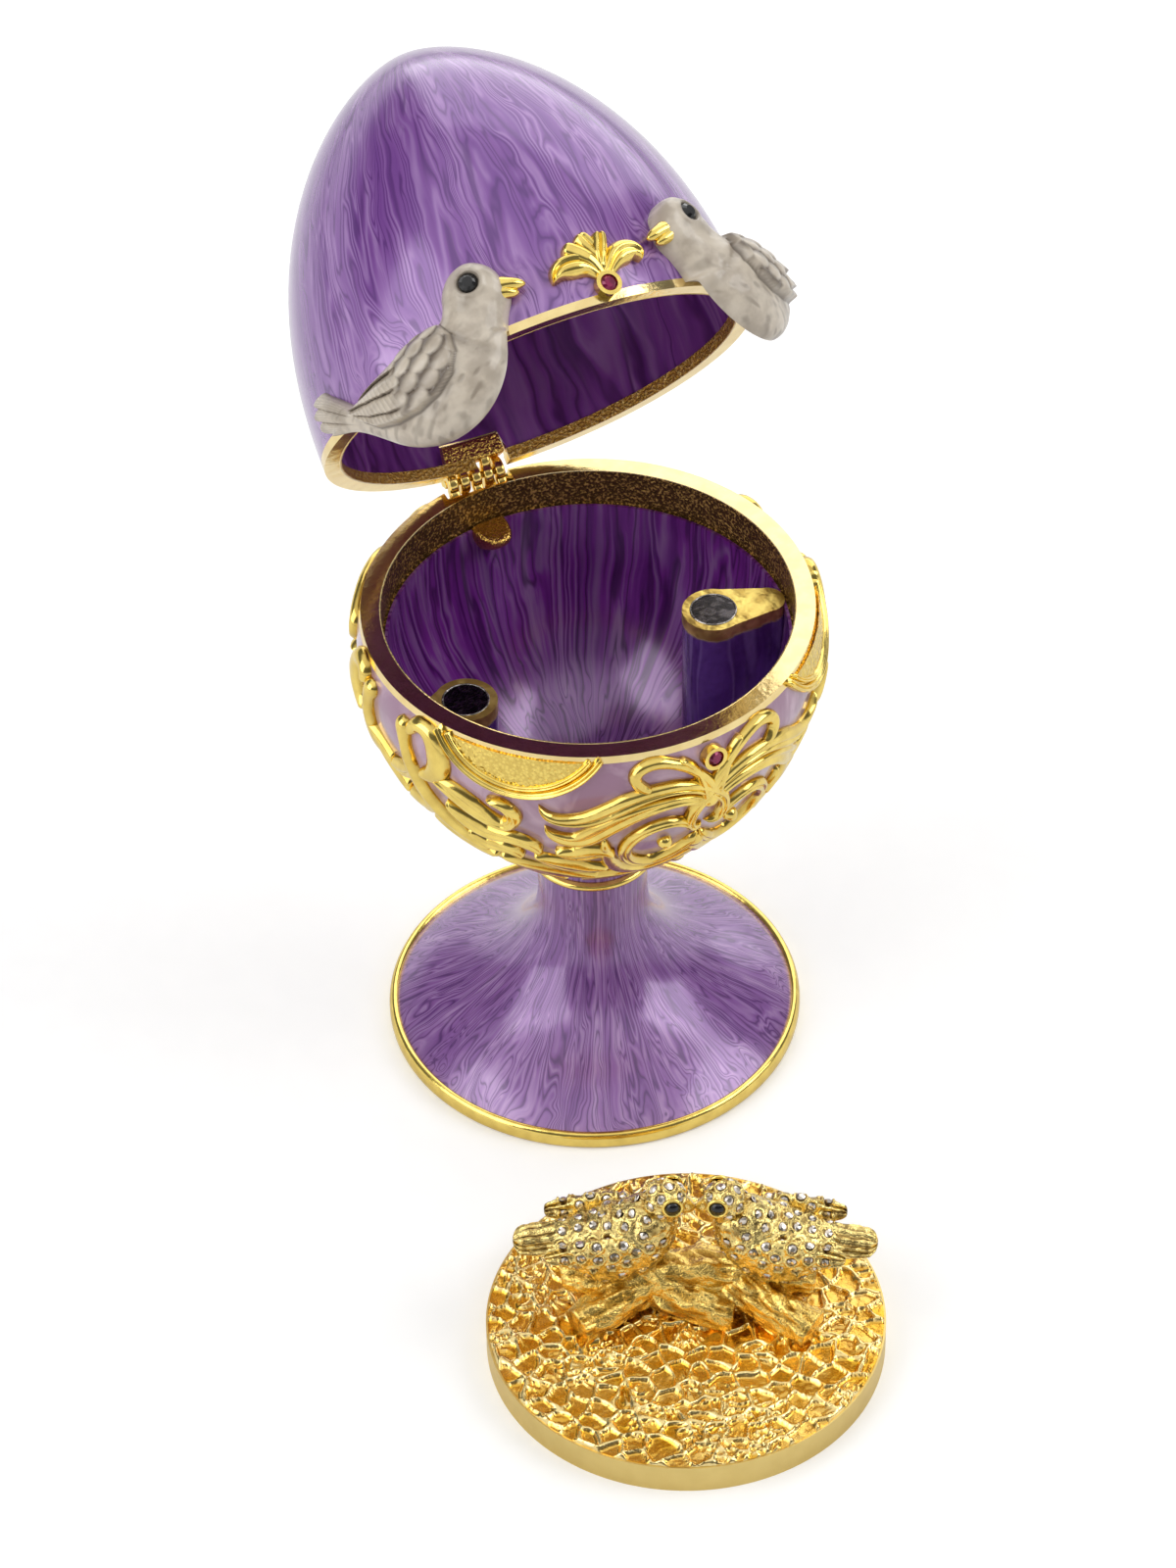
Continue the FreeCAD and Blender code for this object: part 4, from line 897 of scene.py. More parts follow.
def wing_relief(x, t):
    """Raised wing: tiles in front, long quills with fine barbs behind."""
    order = wing_stations[::-1]
    middle = (order[:, 0] + order[:, 2]) / 2
    low = np.interp(x, middle, order[:, 1])
    high = np.interp(x, middle, order[:, 3])
    width = np.maximum(high - low, 0.01)
    share = (t - low) / width
    edge = np.minimum(np.minimum(share, 1 - share) * width, np.minimum(middle[-1] - x, x - middle[0]) * 1.3)
    tile, tile_shade = tiles(x, t)
    quill = share * 3.6 + step_up(x, -34, -26) * 0.5
    within = quill - np.floor(quill)
    barbs = np.sin(2 * np.pi * (x * 1.5 + within * 1.4))
    long_height = 0.80 * (1 - within) ** 0.8 + 0.035 * barbs
    long_shade = np.maximum(step_up(within, 0.80, 0.98), 0.28 * step_up(barbs, 0.2, 1.0))
    behind = 1 - step_up(x, -28.6, -26.6)
    raised = step_up(edge, 0.0, 0.55)
    height = raised * (0.75 + tile * (1 - behind) + long_height * behind)
    # Painted shade where one tile meets the next, at the ends of the quills and round the wing's edge; fine dark
    # lines on the barbs.
    shade = raised * (tile_shade * (1 - behind) + long_shade * behind)
    shade = np.maximum(shade, bump_in(edge, 0.22) * 0.9)
    return height, shade


# %% [markdown]
# Brown also lies in short brush strokes and blotches over the breast and belly, and in a soft patch on the cheek.
# Round the eye and in the crease of the neck it is painted shade. All of it is worked out here with the shape, so
# it follows the bird.

# %% One dove
def dove_back(t, rise):
    """Height of the dove's flat back: just under the lid's skin, and further out where the dove
    hangs over the cup's rim."""
    return -0.3 + 2.25 * step_up(-t - rise, -0.8, 0.1)


def dove_skin(rise=0.0, rows=330, columns=130, under=8):
    """Outline splines through the stations; h = back + (top - back) sin(pi w) across the body,
    closed behind at h = back, and drawn in to a rounded end at tail and forehead."""
    knots = distances((dove_stations[:, :2] + dove_stations[:, 2:4]) / 2)
    run = np.linspace(0, 1, rows)
    run = 0.72 * run + 0.28 * (1 - np.cos(np.pi * run)) / 2
    station = smooth(knots, dove_stations, run * knots[-1])
    station[:, 4] = np.interp(run * knots[-1], knots, dove_stations[:, 4]) * 0.5 + station[:, 4] * 0.5
    blunt = np.minimum(quarter(run / 0.018), quarter((1 - run) / 0.045))[:, None]
    turn = np.linspace(0, 1, columns)[None, :]
    share = (1 - np.cos(np.pi * turn)) / 2
    middle = (station[:, :2] + station[:, 2:4]) / 2
    width = station[:, 2:4] - station[:, :2]
    narrow = 0.25 + 0.75 * blunt
    x, t = (middle[:, k, None] + (share - 0.5) * width[:, k, None] * narrow for k in (0, 1))
    run = run[:, None]
    tail = 1 - step_up(run, 0.12, 0.30)
    lobe = np.abs(np.sin(np.pi * (3 * share)))
    x = x - tail * (1 - step_up(run, 0, 0.10)) * (lobe ** 0.7 - 0.5) * 1.1
    back = dove_back(t, rise)
    arch = np.sin(np.pi * turn)
    height = back + (station[:, 4, None] - back) * blunt * arch ** (0.9 - 0.25 * tail)

    # Three lobes of the tail with painted shade between them, and fine dark stripes.
    ridge = lobe ** 0.6
    height += tail * arch * (0.55 * ridge + 0.05 * np.sin(2 * np.pi * (share * 24 + run * 30)) - 0.35)
    stripes = np.sin(2 * np.pi * share * 18) > 0.3
    shade = tail * (0.75 * bump_in(ridge, 0.33) + 0.20 * stripes)

    wing, wing_shade = wing_relief(x, t)
    height += wing * step_up(arch, 0.0, 0.25)
    shade = np.maximum(shade, wing_shade)
    bare = 1 - step_up(wing, 0.05, 0.3)

    # A socket with a raised rim for the eye, and the crease of the neck, each with painted shade; a soft brown
    # patch on the cheek.
    from_eye = np.hypot(x - eye_spot[0], t - eye_spot[1])
    height += 0.22 * bump_in(from_eye - 1.62, 0.32) - 0.75 * (1 - step_up(from_eye, 1.0, 1.45))
    shade = np.maximum(shade, 0.55 * bump_in(from_eye - 1.42, 0.25))
    cheek = np.hypot(x - eye_spot[0] + 1.2, t - eye_spot[1] + 2.3)
    shade = np.maximum(shade, 0.40 * bump_in(cheek, 1.1))
    neck = bump_in(run - 0.73 + 0.05 * (share - 0.5), 0.016)
    height -= 0.35 * neck * arch * bare
    shade = np.maximum(shade, 0.3 * neck * bare)

    # Brush strokes across the feathers' way, and an uneven surface.
    spots = stacked(x, t, height)
    along, side = feather_ways(x, t)
    stroke = noise(stacked(side, along * 2.4, 0), 1.3, 3)
    wash = noise(spots, 2.6, 5)
    feathered = (1 - step_up(run, 0.72, 0.80)) * (1 - tail)
    shade = np.maximum(shade, bare * feathered * 0.45 * step_up(stroke + 0.35 * wash, 0.15, 0.75))
    shade = np.maximum(shade, bare * 0.35 * step_up(stroke * 0.6 + 0.7 * wash, 0.2, 0.8))
    uneven = 0.07 * noise(spots, 1.5, 1) + 0.03 * noise(spots, 0.6, 2)
    height += arch * uneven - 0.05 * bare * feathered * arch * step_up(stroke, 0.2, 0.8)

    behind = np.linspace(1, 0, under + 2)[None, 1:-1]
    x_back, t_back = (a[:, :1] + behind * (a[:, -1:] - a[:, :1]) for a in (x, t))
    backs = (x_back, t_back, dove_back(t_back, rise), np.zeros_like(x_back))
    return [np.concatenate(pair, axis=1) for pair in zip((x, t, height, shade), backs)]


for side, (sign, shift, rise) in dove_places.items():
    dove_x, dove_t, dove_h, dove_shade = dove_skin(rise)
    bird = Shell(lid_point(sign * (dove_x + shift), dove_t + rise, dove_h), shade=dove_shade).moved(opened)
    piece("dove_relief_" + side, [bird], "lid", dove_paint, ["dove_" + side], crease=70)

# %% [markdown]
# The beak is two small gold wedges with a parting between them, at heights given here. The eye is a black cut
# stone: a flat table, a ring of sloping facets and a thin girdle. It sits at the height that the dove has at its
# spot, read from the grid just made.

# %% Cut stones
def across(outward):
    """Two directions at right angles to outward, the first one level unless outward is upright."""
    first = unit(np.cross(outward, (0.0, 0.0, 1.0) if abs(outward[2]) < 0.9 else (1.0, 0.0, 0.0)))
    return first, np.cross(outward, first)


def frame_on(place, *spot):
    """Origin and outward direction at a spot of a surface that is given by a function."""
    origin = place(*spot, 0.0)
    return origin, unit(place(*spot, 1.0) - origin)


def stone_rings(origin, outward, radius, sides=12, depth=0.35, crown=0.42, table=0.58):
    """Rings of points: small ring below, girdle twice, then the table half a side further on.
    A point of a ring = origin + radius (share (cos a first + sin a second) + lift outward)."""
    first, second = across(outward)
    rings = []
    for share, lift, turn in ((0.55, -depth, 0), (1, -0.10, 0), (1, 0.02, 0), (table, crown, np.pi / sides)):
        angle = (full_turn(sides) + turn)[:, None]
        way = np.cos(angle) * first + np.sin(angle) * second
        rings.append(origin + radius * (share * way + lift * outward))
    return np.stack(rings)


def stone(*where, **cut):
    """One cut stone, its rings joined and closed."""
    return Shell(stone_rings(*where, **cut))


def dove_height(x, t):
    """Height of the dove at the grid point nearest to a spot."""
    return dove_h.reshape(-1)[(np.hypot(dove_x - x, dove_t - t) - dove_h * 1e-3).argmin()]


# %% Beaks and eyes
def wedge(x, t, half_width, half_height, centre_h, place):
    """An oval tube along a short line on the lid: half_width across it, half_height off the lid."""
    sign, shift, rise = place
    turn = full_turn(24)[None, :]
    along = unit(np.gradient(np.stack([x, t], -1), axis=0))
    sideways = half_width[:, None] * np.cos(turn)
    h = centre_h[:, None] + half_height[:, None] * np.sin(turn)
    x = x[:, None] - along[:, 1:] * sideways + shift
    t = t[:, None] + along[:, :1] * sideways + rise
    return Shell(lid_point(sign * x, t, h)).moved(opened)


def beak(place):
    """Upper half long and straight, lower half short and turned down; each narrows to its tip."""
    run = np.linspace(0, 1, 26)
    slim = np.sqrt(1 - run ** 1.6 * 0.98)
    h = 1.75 - 0.35 * run
    knobs = 1 + 0.12 * noise(stacked(run * 3, 0, h), 0.6, 9)
    upper = wedge(-13.2 + 3.3 * run, 6.00 - 0.90 * run ** 1.3, 1.10 * slim * knobs, 1.30 * slim, h, place)
    lower = wedge(-13.2 + 2.2 * run, 5.05 - 0.75 * run, 0.95 * slim * knobs, 1.15 * slim, h, place)
    return [upper, lower]


eye_radius, eye_proud = 1.30, 0.45
for side, place in dove_places.items():
    sign, shift, rise = place
    piece("beak_" + side, beak(place), "lid", polished_gold, ["dove_beak_" + side])
    origin, outward = frame_on(lid_point, sign * (eye_spot[0] + shift), eye_spot[1] + rise)
    origin = origin + outward * (dove_height(*eye_spot) + eye_proud)
    eye = stone(origin, outward, eye_radius, crown=0.40, table=0.55).moved(opened)
    piece("dove_pupil_" + side, [eye], "lid", jet_black, ["dove_eye_" + side], crease=8)

# %% [markdown]
# ## Leaf spray
#
# Raised ornament is a strip laid on a surface: its centre line lies on the surface, its section
# is a low arch with grooves cut along it, and its width swells and tapers. The scrolls of the
# cup are made by the same function.

# %% Raised strips
def strip(line, outward, half_width, crest, section, sink=0.30, shade=None):
    """Point = line + sideways half_width c + outward crest h for each (c, h) of the section, with
    sideways = outward x tangent; the underside lies sink below the surface."""
    tangent = unit(np.gradient(line, axis=0))
    sideways = unit(np.cross(outward, tangent))
    c, h = section
    top = (line[:, None] + sideways[:, None] * (half_width[:, None] * c)[..., None]
           + outward[:, None] * (crest[:, None] * h)[..., None])
    under = half_width[:, None, None] * np.linspace(1, -1, 5)[None, :, None]
    bottom = line[:, None] + sideways[:, None] * under - outward[:, None] * sink
    dark = np.zeros((len(line), len(c) + 5))
    if shade is not None:
        dark[:, :len(c)] = shade
    return Shell(np.concatenate([top, bottom], 1), shade=dark)


def arch_section(grooves=(), depth=0.25, width=0.12, count=27, power=3.0):
    """h = (1 - |c|^power)^0.6, less a bell-shaped groove at each given c."""
    c = -np.cos(np.linspace(0, np.pi, count))
    h = (1 - np.abs(c) ** power) ** 0.6
    for groove in grooves:
        h = h - depth * bump_in(c - groove, width)
    return c, h


def ends(run, start, finish):
    """Rounded ends: a quarter circle over the given share of the length at each end."""
    first = quarter(run / start) if start else 1.0
    last = quarter((1 - run) / finish)
    return np.maximum(np.minimum(first, last), 0.02)


def petal(points, widths, crest, section, count=70):
    """A strip on the lid through points (x, t) with half widths at those points."""
    path = through(points, count)
    run = np.linspace(0, 1, count)
    half = smooth(np.linspace(0, 1, len(widths)), widths, run) * ends(run, 0, 0.16)
    line = lid_point(path[:, 0], path[:, 1], 0.0)
    outward = lid_point(path[:, 0], path[:, 1], 1.0) - line
    swell = crest * (0.45 + 0.55 * step_up(run, 0.0, 0.5)) * ends(run, 0, 0.10)
    return strip(line, outward, half, swell, section).moved(opened)


one_rib = arch_section((-0.25,), 0.32, 0.22)
two_ribs = arch_section((0.05,), 0.30, 0.16)
# Each petal from its root: places (x, t), half widths, crest, section.
petals = (
    (((0.0, 3.0), (-1.3, 4.9), (-3.5, 5.7), (-5.6, 5.2), (-6.6, 4.0)),
     (0.60, 1.30, 1.75, 1.45, 0.45), 1.75, one_rib),
    (((0.3, 3.2), (-0.9, 5.6), (-2.4, 7.2), (-3.8, 8.3)), (0.50, 1.00, 1.25, 1.20), 1.55, arch_section()),
    (((0.3, 3.4), (0.1, 6.6), (-0.7, 8.5), (-1.1, 9.6)), (0.50, 0.90, 1.30, 1.15), 1.35, one_rib),
    (((0.4, 3.2), (0.6, 6.2), (1.3, 7.8), (1.7, 9.2)), (0.50, 1.00, 1.15, 1.15), 1.60, two_ribs),
    (((0.5, 3.0), (1.9, 4.7), (3.9, 5.8), (5.5, 5.4), (5.9, 4.1)),
     (0.60, 1.20, 1.70, 1.50, 0.50), 1.75, two_ribs),
    (((0.4, 3.4), (0.35, 5.0), (0.4, 6.4)), (1.0, 0.9, 0.6), 1.1, arch_section()),
)
spray = [petal(*shape) for shape in petals]
piece("leaf_spray", spray, "lid", polished_gold, ["fleur_spray"], crease=50)

stone_radius, stone_seat, lid_stone_t, cup_stone_depth = 1.15, 1.05, 2.0, 3.1


def red_stone(place, *spot):
    """The round stone that stands in its setting at a spot of the lid or the cup."""
    origin, outward = frame_on(place, *spot)
    return stone(origin + outward * stone_seat, outward, stone_radius, crown=0.38)


lid_gem = red_stone(lid_point, 0.0, lid_stone_t).moved(opened)
piece("lid_gem", [lid_gem], "lid", ruby_red, ["lid_ruby"], crease=8)

# %% [markdown]
# ## Hinge hooks
#
# The hinge shows five fat hooks side by side, three from the cup and two from the lid, each
# wrapped round the pin. A hook is a rounded bar swept up from its leaf and round the pin's
# centre. The cup's hooks are drawn hanging down, the lid's are their mirror image, turned open.

# %% Hooks round the pin
hook_width, hook_step, hook_thick, hook_round = 1.36, 1.72, 0.72, 1.20
leaf_half_length, leaf_half_thick, leaf_half_tall = 4.60, 0.93, 1.45
leaf_aside, leaf_below = -1.95, 2.82
hinge_skew = math.atan2(pin_axis.y, pin_axis.x)


def squarish(count, power):
    """Round a flattened oval: cosine and sine, each with its size raised to a power below 1."""
    turn = full_turn(count)
    return [np.sign(f(turn)) * np.abs(f(turn)) ** power for f in (np.cos, np.sin)]


def at_pin(along_pin, y, z):
    """Points given along the pin, out from it and up from it, set down at the hinge."""
    turn = np.array(Matrix.Rotation(hinge_skew, 3, "Z"))
    return stacked(along_pin, y, z) @ turn.T + np.array(pin_point)


def hook(index, sense, rows=70, columns=36):
    """Path in the plane across the pin: up the leaf, then 250 degrees round the pin's centre;
    section: |u / half width|^4 + |v / half thickness|^4 = 1."""
    wrap = np.radians(np.linspace(195, -55, 12))
    path = [(-1.90, -3.9), (-1.95, -2.8), (-1.90, -1.7), (-1.62, -0.85)]
    path += [(hook_round * math.cos(a), hook_round * math.sin(a)) for a in wrap]
    path = through(path, rows)
    ahead = unit(np.gradient(path, axis=0))
    u, v = squarish(columns, 0.5)
    grow = ends(np.linspace(0, 1, rows), 0.03, 0.05)[:, None]
    along_pin = (index - 2) * hook_step + 0.5 * hook_width * u[None, :] * (0.75 + 0.25 * grow)
    off = hook_thick * v[None, :] * grow
    y = path[:, :1] - ahead[:, 1:] * off
    z = (path[:, 1:] + ahead[:, :1] * off) * -sense
    return at_pin(along_pin, y, z)


def leaf_plate(sense, rows=24, columns=48):
    """The leaf in the wall's notch: a rounded slab from end to end of the hinge."""
    u, v = squarish(columns, 0.3)
    run = np.linspace(-1, 1, rows)[:, None]
    grow = 0.88 + 0.12 * np.sqrt(1 - np.clip((np.abs(run) - 0.93) / 0.07, 0, 1) ** 2)
    y = leaf_aside + leaf_half_thick * grow * u[None, :]
    z = (-leaf_below - leaf_half_tall * grow * v[None, :]) * -sense
    return at_pin(leaf_half_length * run, y, z)


cup_hinge = [Shell(hook(index, -1)) for index in (0, 2, 4)]
lid_hinge = [Shell(hook(index, 1)).moved(opened) for index in (1, 3)]
piece("hinge_hooks_cup", cup_hinge, "stand", hinge_gold, ["cup_hinge_leaf"])
piece("hinge_hooks_lid", lid_hinge, "lid", hinge_gold, ["lid_hinge_leaf"])
piece("hinge_plate_cup", [Shell(leaf_plate(-1))], "stand", grainy_gold)
piece("hinge_plate_lid", [Shell(leaf_plate(1)).moved(opened)], "lid", grainy_gold)

# %% [markdown]
# Under the hinge a small round-nosed bracket stands on the cup's wall, the dish's third rest.
# Seen from above it is half an oval; below its flat top it draws back to the wall.

# %% Bracket under the hinge
rest_low, rest_high = span("hinge_side_rest")


def bracket(rows=56, columns=64, flat=0.30, nose_round=0.55):
    """Half an oval grows from the middle of the flat top to its edge, then its reach shrinks
    with depth below the top."""
    run = np.linspace(0, 1, rows)[:, None]
    turn = full_turn(columns)[None, :]
    open_out = np.clip(run / flat, 0, 1)
    below = np.clip((run - flat) / (1 - flat), 0, 1)
    wall_y = rest_high[1] - 0.5
    half = (rest_high[0] - 0.02) * open_out * (1 - 0.55 * below ** 2)
    reach = (wall_y - rest_low[1] - 0.1) * open_out * (1 - 0.94 * below ** 1.7)
    x = half * np.sign(np.cos(turn)) * np.abs(np.cos(turn)) ** 0.8
    y = wall_y - np.where(np.sin(turn) > 0, reach, 0.3 * open_out) * np.sin(turn)
    edge = np.clip((open_out - 0.75) / 0.25, 0, 1)
    under_nose = rest_high[2] - rest_low[2] - nose_round - 0.1
    depth = nose_round * (1 - np.sqrt(1 - edge ** 2)) + under_nose * below
    return stacked(x, y, rest_high[2] - 0.02 - depth)


piece("hinge_bracket", [Shell(bracket())], "stand", grainy_gold, ["hinge_side_rest"])

# %% [markdown]
# ## Scrollwork on the cup
#
# The cup wears cast scrolls and leaves: bands with a groove along them that swell, taper and
# curl. Each is a strip through a few places given as azimuth from the front stone and depth
# below the rim. One side is drawn; its mirror image and the same again at the back complete
# it. At the back, two more scrolls fill the space that the crescents take at the front.

# %% Strips on the cup
def on_cup(points, half_widths, crest, section, side=1, back=0, rounding=0.10, count=70):
    """A strip through places (azimuth, depth) with half widths spread along it. The places are
    joined by a smooth curve on the unrolled cup, with depth kept and azimuth scaled to mm."""
    unrolled = (math.radians(1) * cup_shoulder, 1.0)
    path = through(np.asarray(points, float) * unrolled, count) / unrolled
    run = np.linspace(0, 1, count)
    half = smooth(np.linspace(0, 1, len(half_widths)), half_widths, run)
    azimuth = side * path[:, 0] + back
    line = cup_point(azimuth, path[:, 1], 0.0)
    outward = cup_point(azimuth, path[:, 1], 1.0) - line
    worn = 1 + 0.05 * noise(line, 1.6, 4)
    c, h = section
    if side < 0:
        c, h = -c[::-1], h[::-1]
    # Painted shade along both edges of the strip, where it meets the cup.
    dark = bump_in(np.abs(c) - 1, 0.16)[None, :] * 0.55
    half = half * ends(run, rounding, rounding) * worn
    crest = crest * ends(run, rounding * 0.6, rounding * 0.6)
    return strip(line, outward, half, crest, (c, h), shade=dark)


band = arch_section((-0.12,), 0.42, 0.16)
plump = arch_section((0.20,), 0.34, 0.22, power=2.4)
rope = arch_section((), power=2.2)
leaf_hollow = arch_section((0.15,), 0.38, 0.34, power=4.0)

# %% [markdown]
# The tables give places and half widths in millimetres. Bands that run side by side read as one
# wide, twice-grooved scroll, as they do on the casting.

# %% Scrolls of one side
side_strips = [
    # Hook under the rim beside the stone.
    (((-15.4, 5.9), (-18.6, 5.0), (-19.8, 3.2), (-17.2, 2.0), (-11.5, 2.2), (-5.5, 4.2), (-0.6, 7.6),
      (2.2, 10.6)), (0.75, 0.95, 1.00, 0.90, 0.85, 0.90, 0.95, 0.85), 1.15, rope),
    # Upper long scroll, past the middle and curled down.
    (((-43.5, 8.2), (-41.0, 9.9), (-36.5, 10.6), (-30.0, 9.9), (-21.3, 7.4), (-13.0, 6.3), (-6.0, 7.0),
      (0.5, 9.4), (4.6, 12.8), (3.6, 16.0), (0.2, 16.4)),
     (0.45, 0.85, 1.35, 1.55, 1.45, 1.25, 1.10, 1.10, 1.05, 0.90, 0.60), 1.20, band),
    # Lower long scroll beside it, ending as a leaf.
    (((-42.5, 12.6), (-39.0, 14.6), (-34.5, 15.2), (-28.5, 13.2), (-21.2, 10.4), (-12.5, 9.0), (-5.0, 9.6),
      (0.8, 11.8)), (0.40, 1.20, 1.75, 1.60, 1.25, 1.05, 0.90, 0.75), 1.10, leaf_hollow),
    # Ring round the bead, a spiral.
    (((-3.4, 16.2), (-7.5, 13.9), (-13.0, 13.3), (-18.6, 14.9), (-21.6, 18.4), (-19.0, 22.2), (-12.6, 23.8),
      (-5.5, 22.2), (-0.4, 19.0)), (0.55, 0.85, 1.00, 1.05, 1.05, 1.10, 1.15, 1.05, 0.80), 1.15, band),
    # Outer band below the ring.
    (((-27.5, 15.4), (-26.2, 20.5), (-22.0, 25.2), (-13.0, 27.4), (-4.5, 25.6), (1.5, 22.0)),
     (0.70, 1.05, 1.20, 1.15, 1.05, 0.80), 1.05, rope),
    # Stems that rise from the middle to the stone.
    (((1.8, 10.2), (3.2, 6.4), (5.6, 3.6), (8.8, 2.0)), (0.65, 0.80, 0.75, 0.55), 1.15, rope),
    # Leaves between the ring and the side.
    (((-24.5, 19.5), (-29.0, 18.4), (-34.5, 19.2), (-40.5, 18.2)), (0.60, 1.75, 1.95, 0.50), 1.25, plump),
    (((-25.5, 23.6), (-32.0, 24.0), (-39.5, 23.0), (-47.0, 20.4)), (0.70, 1.90, 2.10, 0.45), 1.25, plump),
    (((-28.0, 29.0), (-38.0, 29.2), (-50.0, 27.4), (-60.0, 24.4)), (0.70, 1.90, 2.10, 0.45), 1.20, plump),
    (((4.0, 30.5), (-10.0, 30.2), (-24.0, 31.8), (-36.0, 34.6)), (0.90, 1.70, 1.80, 0.60), 1.05, leaf_hollow),
    # Beside the crescent: a stem with a round head, and a hook that starts from it.
    (((-83.0, 2.2), (-81.4, 5.2), (-80.4, 8.8), (-78.4, 13.1), (-75.2, 17.2), (-69.6, 20.4), (-64.0, 22.0),
      (-60.5, 22.4)), (2.00, 0.95, 1.00, 1.10, 1.25, 1.35, 1.10, 0.45), 1.35, rope),
    (((-79.0, 4.0), (-78.0, 2.2), (-74.2, 1.8), (-70.8, 4.2), (-70.4, 7.0), (-73.0, 9.0), (-76.8, 9.4)),
     (0.85, 1.15, 1.45, 1.75, 1.90, 1.60, 0.75), 1.40, rope),
    # Below the crescent: a plump leaf that curls back up at its end, and two more under it.
    (((-72.6, 8.6), (-67.0, 9.9), (-62.2, 11.4), (-57.2, 13.0), (-52.4, 13.4), (-50.0, 11.4), (-52.6, 9.2),
      (-57.0, 8.9)), (0.70, 1.55, 1.95, 1.75, 1.30, 1.10, 0.95, 0.50), 1.40, plump),
    (((-69.6, 13.0), (-65.0, 15.6), (-59.0, 17.0), (-52.4, 16.6), (-47.2, 17.4), (-44.0, 19.2)),
     (0.50, 1.50, 1.85, 1.35, 1.20, 0.45), 1.35, plump),
    (((-66.0, 18.8), (-60.5, 20.8), (-54.6, 20.4), (-50.4, 22.0)), (0.50, 1.35, 1.30, 0.50), 1.25, plump),
    # Leaves from the stem to the cup's side, where the back's leaves meet them.
    (((-80.0, 10.4), (-84.4, 12.6), (-90.0, 13.6)), (0.50, 1.55, 1.20), 1.25, plump),
    (((-76.0, 16.8), (-82.0, 19.2), (-90.0, 19.8)), (0.50, 1.80, 1.35), 1.25, plump),
    (((-62.0, 25.6), (-70.0, 26.6), (-80.0, 25.6), (-90.0, 25.4)), (0.60, 1.70, 1.85, 1.30), 1.20, plump),
    (((-42.0, 35.2), (-56.0, 33.8), (-72.0, 31.6), (-86.0, 29.8)),
     (0.60, 1.80, 1.90, 0.70), 1.05, leaf_hollow),
]
back_strips = [
    (((-26.0, 5.3), (-31.0, 2.9), (-40.0, 1.9), (-50.0, 2.1), (-57.0, 4.0), (-54.0, 6.7), (-46.0, 6.1)),
     (0.70, 1.00, 1.20, 1.20, 1.05, 0.95, 0.70), 1.10, band),
    (((-74.0, 9.5), (-69.0, 6.2), (-64.0, 8.0), (-56.0, 9.7), (-48.0, 9.5), (-42.0, 8.1), (-36.0, 5.7)),
     (0.70, 1.00, 1.25, 1.25, 1.10, 0.95, 0.70), 1.10, band),
]
scrolls = {0: [], 180: []}
for back, made in scrolls.items():
    for side in (1, -1):
        for shape in side_strips + (back_strips if back else []):
            made.append(on_cup(*shape, side, back))
piece("scrolls_front", scrolls[0], "stand", polished_gold, ["cup_scrollwork"], crease=60)
piece("scrolls_back", scrolls[180], "stand", polished_gold, crease=60)

# %% [markdown]
# A half bead sits in each ring. The knot where the scrolls meet below the stone is a small
# mound that hides their crossing, as solder would on a real mount.

# %% Beads and knots
def dome_on(place, spot, radius, rise, rows=14, columns=36, sink=0.4):
    """Loops at angle b from rim to top: across = radius cos b, lift = rise sin b."""
    origin, outward = frame_on(place, *spot)
    first, second = across(outward)
    climb = np.linspace(0, np.pi / 2 * 0.98, rows)[:, None, None]
    turn = full_turn(columns)[None, :, None]
    flat = radius * np.cos(climb) * (np.cos(turn) * first + np.sin(turn) * second)
    loops = origin + flat + rise * np.sin(climb) * outward
    foot = loops[:1] - sink * outward
    return Shell(np.concatenate([foot, loops]))


beads = [dome_on(cup_point, (back + side * 10.5, 18.6), 1.05, 1.35) for back in (0, 180) for side in (-1, 1)]
piece("ring_beads", beads, "stand", polished_gold, ["scroll_beads"])
knots = [dome_on(cup_point, (back, depth), radius, 1.25) for back in (0, 180)
         for depth, radius in ((11.0, 1.5), (21.0, 1.7), (27.5, 1.5))]
piece("scroll_knots", knots, "stand", polished_gold)

# %% [markdown]
# ## Crescents
#
# Under each dove, a crescent of gold hangs from the rim. Its field is punched all over with a
# small round punch, and two smooth wires border its lower edge. The edge is an arc of a circle.
# The distance to that arc drives the border's height.

# %% Crescents
crescent_angle, crescent_half, crescent_drop = 49.5, 22.7, 6.9
half_chord = rim_radius * math.sin(math.radians(crescent_half))
arc_radius = (half_chord ** 2 + crescent_drop ** 2) / (2 * crescent_drop)


